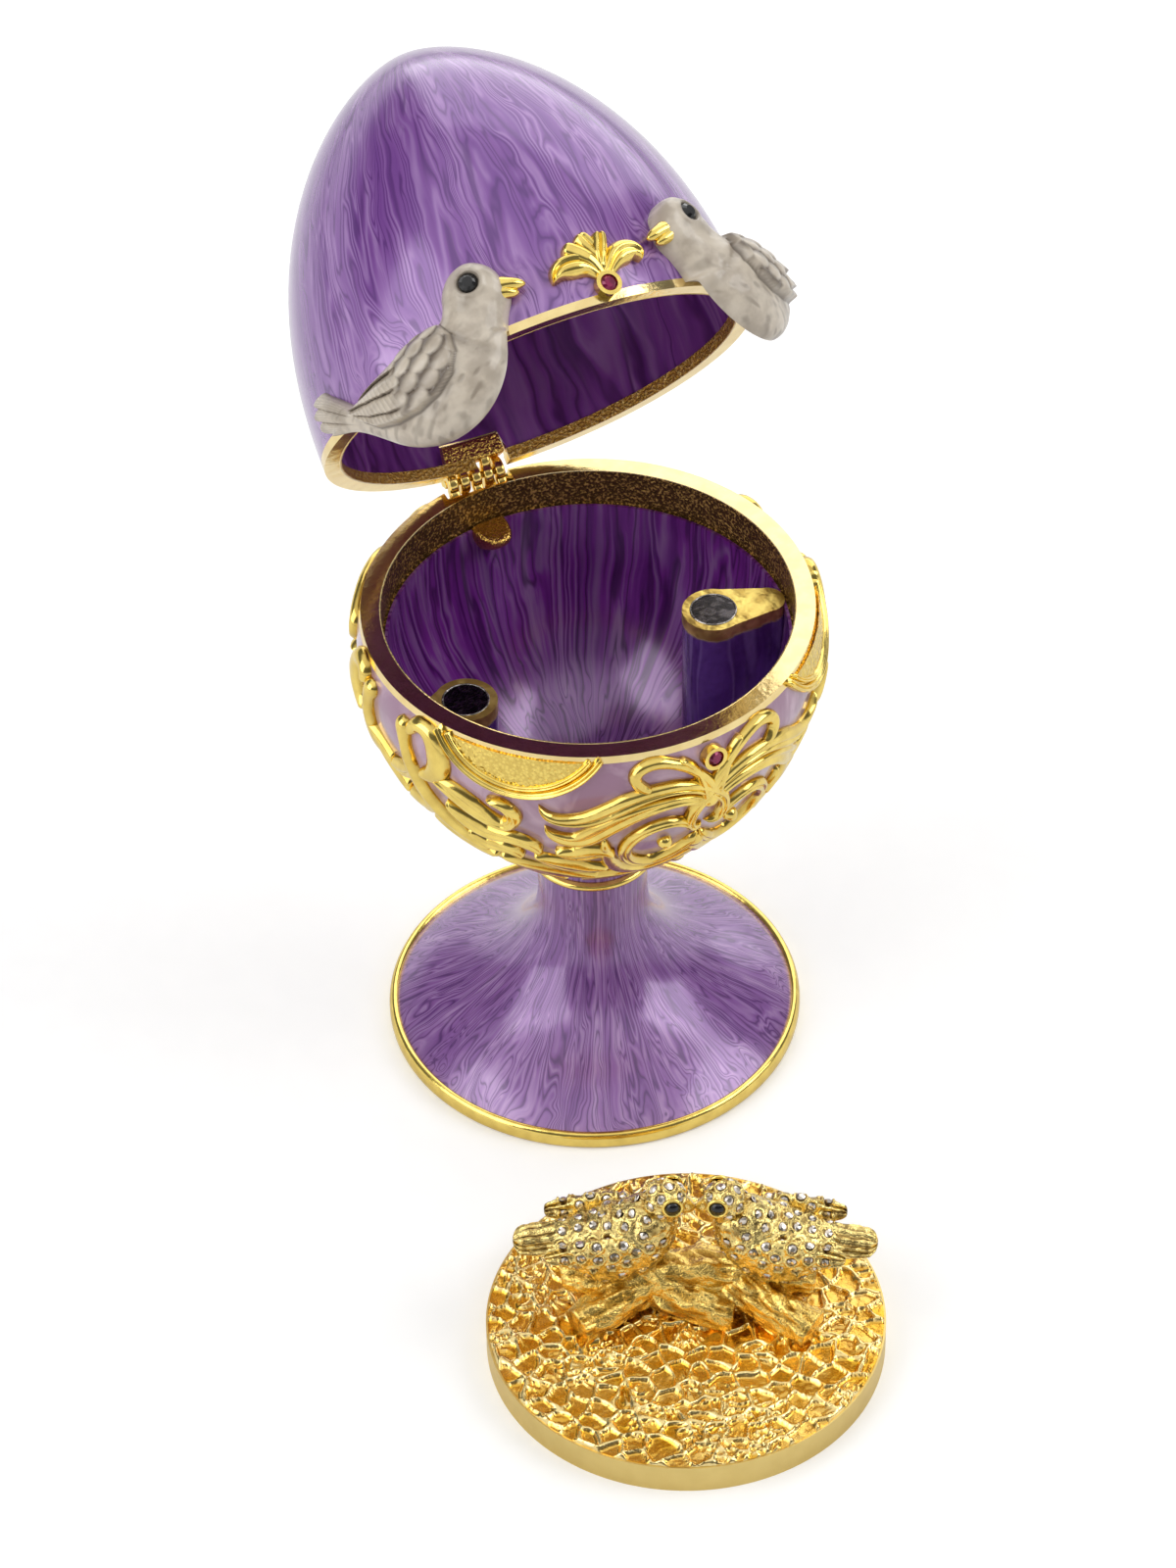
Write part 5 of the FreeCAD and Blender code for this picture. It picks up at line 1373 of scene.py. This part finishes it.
def crescent(side, columns=200, rows=56):
    """depth(w) = sqrt(R^2 - w^2) - (R - drop), R from the chord and drop; the height over the
    cup is a field plus a rounded ridge at a set distance inside the arc."""
    offset = np.linspace(-1, 1, columns)[:, None] * crescent_half * 0.992
    width = rim_radius * np.sin(np.radians(offset))
    lowest = np.sqrt(arc_radius ** 2 - width ** 2) - (arc_radius - crescent_drop)
    depth = 0.75 + (lowest - 0.75) * np.linspace(0, 1, rows)[None, :]
    inside = arc_radius - np.hypot(width, depth + arc_radius - crescent_drop)
    azimuth = side * crescent_angle + offset + 0 * depth
    flat = stacked(width, depth, 0)
    height = 0.34 + 0.05 * noise(flat, 0.55, 6) + 0.03 * noise(flat, 0.28, 7)
    ridges = 0.20 * bump_in(inside - 0.45, 0.26)
    height = np.where(inside < 1.45, 0.26, height) + ridges
    height = height * step_up(inside, -0.02, 0.16)
    top = cup_point(azimuth, depth, height)
    bottom = cup_point(azimuth, depth, -0.25)[:, ::-8]
    shade = np.maximum(0.7 * bump_in(inside - 0.80, 0.12), 0.8 * bump_in(inside - 1.42, 0.14))
    shade = np.concatenate([shade, np.zeros(bottom.shape[:2])], 1)
    return Shell(np.concatenate([top, bottom], 1), shade=shade)


def wire_round(side, inset, half_width, crest, count=120):
    """A polished wire along the crescent's arc, the given distance inside it."""
    radius = arc_radius - inset
    swing = np.linspace(-1, 1, count) * math.asin((half_chord - inset * 0.5) / arc_radius)
    width, depth = radius * np.sin(swing), radius * np.cos(swing) - (arc_radius - crescent_drop)
    azimuth = side * crescent_angle + np.degrees(np.arcsin(width / rim_radius))
    depth = np.maximum(depth, 0.35)
    line = cup_point(azimuth, depth, 0.0)
    outward = cup_point(azimuth, depth, 1.0) - line
    rounded = ends(np.linspace(0, 1, count), 0.02, 0.02)
    return strip(line, outward, half_width * rounded, crest * rounded, plump)


for side, sign in (("left", -1), ("right", 1)):
    wires = [wire_round(sign, 0.40, 0.62, 1.15), wire_round(sign, 1.45, 0.42, 0.85)]
    piece("crescent_border_" + side, wires, "stand", polished_gold, crease=60)
    field = [crescent(sign)]
    piece("crescent_" + side, field, "stand", crescent_gold, ["lunette_" + side], crease=60)

cup_gem = red_stone(cup_point, 0.0, cup_stone_depth)
piece("cup_gem", [cup_gem], "stand", ruby_red, ["cup_ruby"], crease=8)

# %% [markdown]
# ## Rings round the magnets
#
# Each magnet is held by a thin steel ring pressed into its post: a wire bent into a circle.

# %% Magnet rings
ring_inset, ring_thick = 0.10, 0.13


def wire_ring(centre, radius, thick, rows=90, columns=12):
    """x, y = centre + (radius + thick cos b) (cos a, sin a); z = centre + thick sin b."""
    a, b = full_turn(rows)[:, None], full_turn(columns)[None, :]
    out = radius + thick * np.cos(b)
    return stacked(centre[0] + out * np.cos(a), centre[1] + out * np.sin(a), centre[2] + thick * np.sin(b))


magnet_rings = []
for side in ("left", "right"):
    low, high = span("cup_magnet_" + side)
    centre = (low + high) / 2
    centre[2] = high[2]
    magnet_rings.append(Shell(wire_ring(centre, (high[0] - low[0]) / 2 - ring_inset, ring_thick), ring=True))
piece("magnet_rings", magnet_rings, "stand", bright_steel)

# %% [markdown]
# ## The dish
#
# The dish lies on the table in front of the foot, turned by about thirty degrees. It is drawn
# about its own centre and then set down. Its top is cast like a net: irregular cells with a
# thin raised line between them. That is a Voronoi pattern: each cell has a centre, moved at
# random from a grid, and a line runs wherever the two nearest centres are equally far.

# %% The net
def set_down(points):
    """Turned about the upright axis and moved to the dish's centre."""
    turn = np.array(Matrix.Rotation(dish_turn, 3, "Z"))
    return points @ turn.T + np.array([dish_centre[0], dish_centre[1], 0.0])


def cells(x, y, pitch, seed):
    """Difference between the distances to the nearest and second nearest cell centre."""
    row = np.floor(y / pitch)
    column = np.floor(x / pitch - 0.5 * (row % 2))
    near = np.full((2,) + x.shape, 1e9)
    for dx in (-2, -1, 0, 1, 2):
        for dy in (-2, -1, 0, 1, 2):
            level = row + dy
            place = np.round(column + 0.5 * (row % 2) - 0.5 * (level % 2)) + dx
            cell = stacked(place, level, 0)
            cx = (place + 0.5 + 0.5 * (level % 2) + 0.85 * (chance(cell, seed) - 0.5)) * pitch
            cy = (level + 0.5 + 0.85 * (chance(cell, seed + 7) - 0.5)) * pitch
            away = np.hypot(x - cx, y - cy)
            near = np.sort(np.concatenate([near, away[None]]), axis=0)[:2]
    return near[1] - near[0]


def net(rings=150, columns=560, pitch=3.1):
    """Rings from the centre to the edge of the dish, down its side by a hair and back under;
    height = ridge where two cells meet + small waves on each cell's floor."""
    edge = dish_radius - 0.25
    radius = edge * np.linspace(0.002, 1, rings)[:, None]
    angle = full_turn(columns)[None, :]
    x, y = radius * np.cos(angle), radius * np.sin(angle)
    flat = stacked(x, y, 0)
    bend = 0.60 * noise(flat, 2.2, 11), 0.60 * noise(flat, 2.2, 12)
    apart = cells(0.83 * x + 0.56 * y + bend[0], 0.83 * y - 0.56 * x + bend[1], pitch, 3)
    small = cells(x - 2 * bend[1], y + 2 * bend[0], pitch * 0.52, 9)
    thick = 0.38 + 0.14 * noise(flat, 2.4, 13)
    ridge = 1 - step_up(apart, thick * 0.40, thick * 1.60)
    thread = (1 - step_up(small, 0.10, 0.42)) * step_up(noise(flat, 3.4, 18), -0.15, 0.35) * 0.55
    ridge = np.maximum(ridge, thread)
    rounded = np.sqrt(np.clip(ridge, 0, 1))
    floor = 0.05 * noise(flat, 1.25, 14) + 0.03 * noise(flat, 0.55, 15)
    inside = step_up(edge - radius, 0.0, 0.35)
    height = 0.14 + (0.58 * rounded * (1 + 0.20 * noise(flat, 1.1, 16)) + floor) * inside
    # Painted shade on the floors of the cells, between the raised lines.
    shade = (1 - step_up(ridge, 0.05, 0.60)) * (0.80 + 0.20 * noise(flat, 2.8, 17))
    top = stacked(x, y, deck_z + height)
    under = stacked(x[::-30], y[::-30], deck_z - 0.2)
    shade = np.concatenate([shade, np.zeros(under.shape[:2])])
    return Shell(np.concatenate([top, under]), shade=shade).moved(set_down)


piece("dish_net", [net()], "insert", net_gold, crease=75)

# %% [markdown]
# ## The branch
#
# The birds sit on a crossed branch. Bark is a tube whose radius changes round it much faster than along it, so the
# grooves run lengthwise. Each limb is drawn in a little towards its ends, which are closed.

# %% Bark
def frames_along(path):
    """Tangent, and two directions across it: one level, one as upright as it can be."""
    tangent = unit(np.gradient(path, axis=0))
    level = unit(np.cross(tangent, (0.0, 0.0, 1.0)))
    return tangent, level, np.cross(level, tangent)


def bark(points, radii, seed, rows=150, columns=72):
    """Loop k: centre k + radius (cos a level + sin a upright), radius = r (1 + grooves)."""
    path = through(points, rows)
    run = np.linspace(0, 1, rows)
    radius = smooth(np.linspace(0, 1, len(radii)), radii, run)[:, None]
    length = run[:, None] * distances(path)[-1]
    angle = full_turn(columns)[None, :]
    twist = angle + length * 0.05
    grain = stacked(np.cos(twist) * 3.4, np.sin(twist) * 3.4, length * 0.42)
    groove = noise(grain, 1.0, seed) + 0.5 * noise(grain, 0.5, seed + 1)
    knot = noise(stacked(np.cos(angle) * radius, np.sin(angle) * radius, length), 2.6, seed + 2)
    tuck = quarter(np.minimum(run, 1 - run) / 0.03)[:, None] * 0.22 + 0.78
    radial = radius * tuck * (1.14 + 0.16 * groove + 0.16 * knot)
    tangent, level, upright = frames_along(path)
    loops = path[:, None] + radial[..., None] * (np.cos(angle)[..., None] * level[:, None]
                                                 + np.sin(angle)[..., None] * upright[:, None])
    # Painted shade in the grooves.
    shade = step_up(-groove, -0.05, 0.6) * 0.9
    return Shell(loops, shade=shade).moved(set_down)


perch_span, perch_radius = 34.0, 2.9
# Each limb: places along, back and up as shares of the span, and its thickness.
limbs = (
    ((-0.470, 0.135, 0.106, 0.65), (-0.300, 0.115, 0.140, 0.90), (-0.100, 0.100, 0.148, 1.00),
     (0.100, 0.100, 0.148, 1.00), (0.300, 0.095, 0.140, 0.92), (0.500, 0.085, 0.110, 0.68)),
    ((-0.130, 0.090, 0.138, 0.90), (-0.260, 0.010, 0.095, 0.88), (-0.420, -0.100, 0.062, 0.80)),
    ((0.180, 0.080, 0.138, 0.90), (0.320, -0.020, 0.095, 0.88), (0.490, -0.140, 0.060, 0.80)),
    ((-0.180, 0.110, 0.132, 0.80), (0.000, 0.020, 0.085, 0.90), (0.190, -0.020, 0.060, 0.80)),
)
branch = []
for number, limb in enumerate(limbs):
    limb = np.array(limb)
    branch.append(bark(limb[:, :3] * perch_span + (0, 0, deck_z), limb[:, 3] * perch_radius, 20 + 5 * number))
piece("bark_branch", branch, "insert", bark_gold, ["perch"], crease=75)

# %% [markdown]
# ## Lovebirds
#
# Each bird is cast in one piece: a body that rises into the neck, a round head, a beak and two
# folded wings. Every form is a stack of ovals along a line. The left bird looks along +X; the
# right one is its mirror image, beak to beak. Where the forms meet, the casting has a crease.

# %% One bird's forms
bird_length, bird_height, bird_line, beak_meeting = 23.0, 22.2, 4.0, 1.35
# Stations: along, up, half width, half height, as shares of the bird's length.
back_stations = np.array((
    (-1.040, -0.295, 0.085, 0.036), (-0.930, -0.290, 0.108, 0.055), (-0.800, -0.288, 0.118, 0.088),
    (-0.640, -0.305, 0.185, 0.175), (-0.490, -0.312, 0.230, 0.232), (-0.360, -0.255, 0.220, 0.222),
    (-0.262, -0.140, 0.165, 0.172), (-0.200, -0.030, 0.112, 0.116)))
wing_ovals = np.array((
    (-0.860, -0.245, 0.020, 0.040), (-0.720, -0.235, 0.038, 0.080), (-0.560, -0.225, 0.050, 0.105),
    (-0.420, -0.215, 0.042, 0.090), (-0.330, -0.200, 0.018, 0.045)))
wing_spread = 0.186
head_place, head_lift, head_size = -0.165, 0.020, 0.116 * bird_length
right_bird_swing = math.radians(-4.0)


def oval_loops(stations, sideways=0.0, rows=120, columns=96):
    """Ovals across a smooth line through the stations, rounded off at both ends; returns the
    loops and each point's outward direction, in the bird's own millimetres."""
    size = stations * bird_length
    path = through(stacked(size[:, 0], sideways * bird_length, size[:, 1] + bird_height), rows)
    knots = distances(size[:, :2])
    run = np.linspace(0, 1, rows)
    half = smooth(knots, size[:, 2:], run * knots[-1])
    half = half * ends(run, 0.06, 0.05)[:, None]
    wide, tall = half[:, None, :1], half[:, None, 1:]
    tangent, level, upright = frames_along(path)
    level, upright = level[:, None], upright[:, None]
    angle = full_turn(columns)[None, :, None]
    loops = path[:, None] + wide * np.cos(angle) * level + tall * np.sin(angle) * upright
    return loops, unit(np.cos(angle) * level / wide + np.sin(angle) * upright / tall)


def ball_loops(centre, radius, rows=90, columns=120):
    """Latitude rings of a ball with its poles fore and aft."""
    lat = np.linspace(0.01, np.pi - 0.01, rows)[:, None]
    turn = full_turn(columns)[None, :]
    outward = stacked(np.cos(lat), np.sin(lat) * np.cos(turn), np.sin(lat) * np.sin(turn))
    return centre + radius * outward, outward


def inside_oval(points, stations, sideways, margin):
    """Whether points lie in the body given by stations, taking each cut as upright."""
    size = stations * bird_length
    order = np.argsort(size[:, 0])
    rear, front_end = size[:, 0].min(), size[:, 0].max()
    at = np.clip(points[..., 0], rear, front_end)
    up, wide, tall = (np.interp(at, size[order, 0], size[order, k]) for k in (1, 2, 3))
    aside = (points[..., 1] - sideways * bird_length) / (wide - margin)
    above = (points[..., 2] - bird_height - up) / (tall * 1.05 - margin)
    return (points[..., 0] > rear) & (points[..., 0] < front_end) & (np.hypot(aside, above) < 1)


# %% [markdown]
# Stones cover the bird from its forehead to its rump, about two millimetres apart, also on the
# wings, but not on the tail or the beak. Candidates are taken in staggered rows from the forms'
# own grids. One is kept if it lies in no other form and no kept one is too near.

# %% Where the stones sit
body_loops, body_out = oval_loops(back_stations)
head_centre = np.array([head_place * bird_length, 0.0, bird_height + head_lift * bird_length])
head_loops, head_out = ball_loops(head_centre, head_size)
wing_loops = {side: oval_loops(wing_ovals, side * wing_spread) for side in (-1, 1)}
eye_places = [head_centre + head_size * np.array([0.30, side * 0.90, 0.30]) for side in (-1, 1)]


def candidates(loops, outward, rows, row_step, step):
    """Grid points of a form between two rows, with their outward directions: every row_step-th
    row, every step-th point of a row, and every second row shifted by half a step."""
    places, directions = [], []
    for number, row in enumerate(range(*rows, row_step)):
        stagger = (number % 2) * step // 2
        columns = (np.arange(0, loops.shape[1], step) + stagger) % loops.shape[1]
        places.append(loops[row, columns])
        directions.append(outward[row, columns])
    return np.concatenate(places), np.concatenate(directions)


def stone_spots(spacing=1.80):
    """Head first, then wings, then body; a spot is refused inside another form, near an eye or
    a kept spot, underneath, or beyond the tail's root."""
    margin, round_eye, bare_beak, tail_root = 0.15, 1.70, -1.6, -0.80 * bird_length
    groups = [(*candidates(head_loops, head_out, (10, 84), 6, 7), "head")]
    for side, (loops, outward) in wing_loops.items():
        groups.append((*candidates(loops, outward, (26, 118), 7, 7), side))
    groups.append((*candidates(body_loops, body_out, (34, 117), 5, 4), "body"))
    kept, facing = [], []
    for places, directions, form in groups:
        hidden = np.zeros(len(places), bool)
        if form != "body":
            hidden |= inside_oval(places, back_stations, 0.0, margin)
        for side in (-1, 1):
            if form != side:
                hidden |= inside_oval(places, wing_ovals, side * wing_spread, margin)
        if form != "head":
            hidden |= np.linalg.norm(places - head_centre, axis=1) < head_size - 0.1
        for eye in eye_places:
            hidden |= np.linalg.norm(places - eye, axis=1) < round_eye
        underneath = (directions[:, 2] < -0.93) & (places[:, 0] < -5)
        hidden |= (places[:, 0] > bare_beak) | underneath | (places[:, 0] < tail_root)
        for place, direction in zip(places[~hidden], directions[~hidden]):
            if all(np.linalg.norm(place - other) > spacing for other in kept):
                kept.append(place)
                facing.append(direction)
    return np.array(kept), np.array(facing)


spots, facings = stone_spots()
print(len(spots), "stones on each bird")

# %% [markdown]
# The gold between the stones is lumpy, with a collar round each stone and painted shade in the seat under it. Both
# come from the distance to the nearest stone. Dark patches at random, in colour only, lie away from the stones.
# The tail fan and the wing tips have long ridges, with painted shade between them.

# %% Texture of the casting
def nearest_stone(points):
    """Distance from every point to its nearest stone, a stone at a time."""
    nearest = np.full(points.shape[:-1], 1e9)
    for spot in spots:
        nearest = np.minimum(nearest, np.linalg.norm(points - spot, axis=-1))
    return nearest


def cast_skin(loops, outward, waves=0.0, share=0.0):
    """Each point moved outwards: lumps, stone collars, seats, and a share of the long waves."""
    away = nearest_stone(loops)
    lumps = 0.13 * noise(loops, 1.1, 31) + 0.09 * noise(loops, 0.5, 32)
    collar = 0.26 * bump_in(away - 0.84, 0.17) - 0.24 * (1 - step_up(away, 0.46, 0.64))
    # Painted shade in each stone's seat; dark patches at random away from the stones, in colour only.
    dark_patches = 0.75 * step_up(-noise(loops, 0.9, 33), 0.1, 0.6) * step_up(away, 0.9, 1.1)
    shade = 1 - step_up(away, 0.58, 0.74) + dark_patches
    height = lumps + collar + share * 0.22 * waves
    shade = np.maximum(shade, share * step_up(-waves, 0.1, 0.9) * 0.8)
    return loops + outward * height[..., None], np.clip(shade, 0, 1)


def ridged(loops, count, start, finish):
    """Ridges round the form, as the cosine of count turns with rough edges, and their share,
    which fades out between two places along the form."""
    run = np.linspace(0, 1, loops.shape[0])[:, None]
    angle = full_turn(loops.shape[1])[None, :]
    return np.cos(angle * count + 0.8 * noise(loops, 1.6, 34)), 1 - step_up(run, start, finish)


def bird_forms():
    """Body, two wings and head, each as its loops and its shade."""
    forms = [cast_skin(body_loops, body_out, *ridged(body_loops, 11, 0.20, 0.30))]
    for loops, outward in wing_loops.values():
        forms.append(cast_skin(loops, outward, *ridged(loops, 9, 0.18, 0.42)))
    forms.append(cast_skin(head_loops, head_out))
    return forms


def bird_beak(columns=40, rows=24):
    """A cone with a hooked, rounded tip: radius = r sqrt(1 - 0.98 s^1.8), drooping as s^1.5."""
    run = np.linspace(0, 1, rows)[:, None]
    turn = full_turn(columns)[None, :]
    radius = 0.066 * bird_length * np.sqrt(1 - 0.98 * run ** 1.8)
    x = (-0.100 + 0.098 * run) * bird_length
    z = head_centre[2] - 0.6 - 0.9 * run ** 1.5
    return stacked(x, radius * 0.85 * np.cos(turn), z + radius * np.sin(turn))


def on_branch(points, sign):
    """A bird's points mirrored if it is the right one, whose tail also swings a little to the
    front; then moved beak to beak and set down."""
    swing = np.array(Matrix.Rotation(0.0 if sign > 0 else right_bird_swing, 3, "Z"))
    return set_down((points * (sign, 1, 1)) @ swing.T + (beak_meeting, bird_line, 0))


cast_forms = bird_forms()
for name, sign in (("left", 1), ("right", -1)):
    skins = [Shell(on_branch(loops, sign), shade=shade) for loops, shade in cast_forms]
    skins.append(Shell(on_branch(bird_beak(), sign)))
    nodes = ["lovebird_" + name]
    piece("cast_lovebird_" + name, skins, "insert", bird_gold, nodes, crease=75)

# %% [markdown]
# The stones are short eight-sided cuts sunk in their seats. The eyes are black half balls in a
# gold ring that stands proud of the head.

# %% Stones and eyes on the birds
def ball_cap(centre, outward, radius, rise, rows=12, columns=28):
    """Half an oval ball: ring k = radius cos b wide and rise sin b high."""
    first, second = across(outward)
    lift = np.linspace(0.0, 0.5 * np.pi - 0.02, rows)[:, None, None]
    turn = full_turn(columns)[None, :, None]
    way = np.cos(turn) * first + np.sin(turn) * second
    return centre + radius * np.cos(lift) * way + rise * np.sin(lift) * outward


def hoop(centre, outward, radius, thick, rows=48, columns=12):
    """A ring lying across outward: a small circle carried round a big one."""
    first, second = across(outward)
    big = full_turn(rows)[:, None, None]
    small = full_turn(columns)[None, :, None]
    way = np.cos(big) * first + np.sin(big) * second
    return centre + (radius + thick * np.cos(small)) * way + thick * 1.1 * np.sin(small) * outward


bird_stone = {"radius": 0.62, "sides": 8, "depth": 0.30, "crown": 0.34, "table": 0.50}
eye_ball = {"radius": 1.00, "rise": 0.80}
eye_hoop = {"radius": 1.22, "thick": 0.24}
for name, sign in (("left", 1), ("right", -1)):
    cuts = []
    for spot, facing in zip(spots, facings):
        cuts.append(Shell(on_branch(stone_rings(spot + 0.02 * facing, facing, **bird_stone), sign)))
    piece("bird_stones_" + name, cuts, "insert", clear_stone, ["crystals_" + name], crease=12)
    balls, hoops = [], []
    for eye in eye_places:
        way = eye - head_centre
        outward = unit(way * (0.2, 1, 0.5))
        seat = head_centre + way * (head_size / np.linalg.norm(way))
        balls.append(Shell(on_branch(ball_cap(seat - 0.15 * outward, outward, **eye_ball), sign)))
        hoops.append(Shell(on_branch(hoop(seat - 0.02 * outward, outward, **eye_hoop), sign), ring=True))
    piece("bird_eyes_" + name, balls, "insert", jet_black, ["lovebird_eyes_" + name])
    piece("eye_rings_" + name, hoops, "insert", polished_gold)

# %% [markdown]
# ## The CAD pieces that stay
#
# The castings, the pin, the settings and the magnets already have their true shape, so they
# keep it and only get a finish. Assigning a material to a node's slots leaves its mesh alone.
# Most take the finish of their slot; a few are told apart by name.

# %% Finishes for the CAD pieces
by_slot = {"gilt": polished_gold, "antique_gilt": bark_gold, "violet_enamel": lid_enamel,
           "dark_enamel": cup_inside_enamel, "lilac_enamel": cup_enamel, "dove_enamel": dove_paint,
           "steel": plain_steel, "magnet": magnet_plate, "ruby": ruby_red, "crystal": clear_stone,
           "jet": jet_black}
by_name = {"foot_base_plate": satin_gold, "insert_tray": satin_gold, "cup_casting": cup_cast_gold,
           "lid_casting": lid_cast_gold, "hinge_side_rest": grainy_gold,
           "magnet_post_left": post_enamel, "magnet_post_right": post_enamel}
slot_of = {part["node"]: part["material_slot"] for part in frame["record"]["subparts"]}
for name, node in frame["nodes"].items():
    node.data.materials.clear()
    node.data.materials.append(by_name.get(name, by_slot[slot_of[name]]))
print(len(frame["nodes"]), "CAD pieces finished,", len(by_name), "of them by name")

# %% [markdown]
# ## Studio
#
# Polished gold and glass show the room more than themselves, so the room matters. A real
# photographer stands such a box on white card between two soft boxes. Here the world is bright
# overhead and low down, and dimmer in between: the dim belt is what draws dark edges on the
# gold. Camera rays see plain white instead.

# %% Room and background
def soft_room():
    """Bright above and below, dim between, by the height of the direction looked in."""
    room = Finish("soft room", "worlds")
    direction = room.node("ShaderNodeTexCoord", output="Generated")
    x, y, z = room.parts(direction)
    ceiling = z.ramp(0.62, 0.90)
    low = 1 - z.ramp(0.10, 0.30)
    level = ceiling * 0.80 + low * 0.78 + 0.14
    strength = level + room.to_camera() * (1 - level)
    background = room.node("ShaderNodeBackground", {}, {"Color": (1, 1, 1, 1), "Strength": strength})
    room.node("ShaderNodeOutputWorld", {}, {"Surface": background})
    bpy.context.scene.world = room.made


def floor_finish():
    """Card that glows towards the camera, more so further off, and keeps the object's shadow."""
    finish = Finish("white card")
    where = finish.place()
    grain = finish.cloud(where, 300, detail=2.0)
    tone = finish.blend(grain.ramp(0.3, 0.7), (0.80, 0.80, 0.80), (0.82, 0.82, 0.82))
    x, y, z = finish.parts(where)
    far = ((x * x + y * y) ** 0.5).ramp(0.35, 0.90)
    glow = finish.blend(far, (0.25, 0.25, 0.25), (0.70, 0.70, 0.70))
    glow = finish.blend(finish.to_camera(), (0.0, 0.0, 0.0), glow)
    return finish.shader(Base_Color=tone, Roughness=0.9, Emission_Color=glow, Emission_Strength=1.0)


soft_room()
card_half = 2.0
corners = [(x * card_half, y * card_half, 0) for x, y in ((-1, -1), (1, -1), (1, 1), (-1, 1))]
card = bpy.data.meshes.new("card")
card.from_pydata(corners, [], [(0, 1, 2, 3)])
floor = bpy.data.objects.new("card", card)
bpy.context.scene.collection.objects.link(floor)
card.materials.append(floor_finish())

# %% [markdown]
# Area lamps are the soft boxes. They are large for their distance, so shadows stay soft, and
# their reflections on the enamel are broad sheens like those in the photograph.

# %% Soft boxes
def soft_box(name, place, target, size, power):
    """A rectangular area lamp at a place, turned so that its light falls on the target."""
    lamp = bpy.data.lights.new(name, "AREA")
    lamp.shape = "RECTANGLE"
    lamp.size, lamp.size_y = size
    lamp.energy = power
    stand = bpy.data.objects.new(name, lamp)
    stand.location = place
    stand.rotation_euler = (Vector(target) - Vector(place)).to_track_quat("-Z", "Y").to_euler()
    bpy.context.scene.collection.objects.link(stand)


soft_box("window left", (-0.70, 0.05, 0.52), (0, 0, 0.06), (0.70, 0.70), 3.4)
soft_box("window right", (0.60, -0.42, 0.66), (0, 0, 0.05), (0.60, 0.50), 3.0)
soft_box("window behind", (0.52, 0.62, 0.52), (0, 0, 0.06), (1.00, 0.80), 3.8)

# %% [markdown]
# The camera was found from the photograph: the round rim of the cup and the dish's edge are
# seen as ellipses whose shapes fix the direction, and their sizes fix the distance.

# %% Camera
camera_place = Vector((-315.591, -549.694, 624.264)) * MILLIMETRE
forward = Vector((0.36610, 0.63862, -0.67686)).normalized()
roll = math.radians(1.002)
level_right = forward.cross(Vector((0, 0, 1))).normalized()
level_up = level_right.cross(forward)
up = math.cos(roll) * level_up + math.sin(roll) * level_right
right = math.cos(roll) * level_right - math.sin(roll) * level_up
lens = bpy.data.cameras.new("camera")
lens.lens = 146.25
lens.sensor_width = 36.0
lens.clip_start = 0.01
lens.clip_end = 20.0
camera = bpy.data.objects.new("camera", lens)
bpy.context.scene.collection.objects.link(camera)
camera.matrix_world = Matrix((
    (right.x, up.x, -forward.x, camera_place.x),
    (right.y, up.y, -forward.y, camera_place.y),
    (right.z, up.z, -forward.z, camera_place.z),
    (0, 0, 0, 1)))
bpy.context.scene.camera = camera
bpy.context.scene.view_settings.view_transform = "Standard"

# %% Update the scene
bpy.context.view_layer.update()
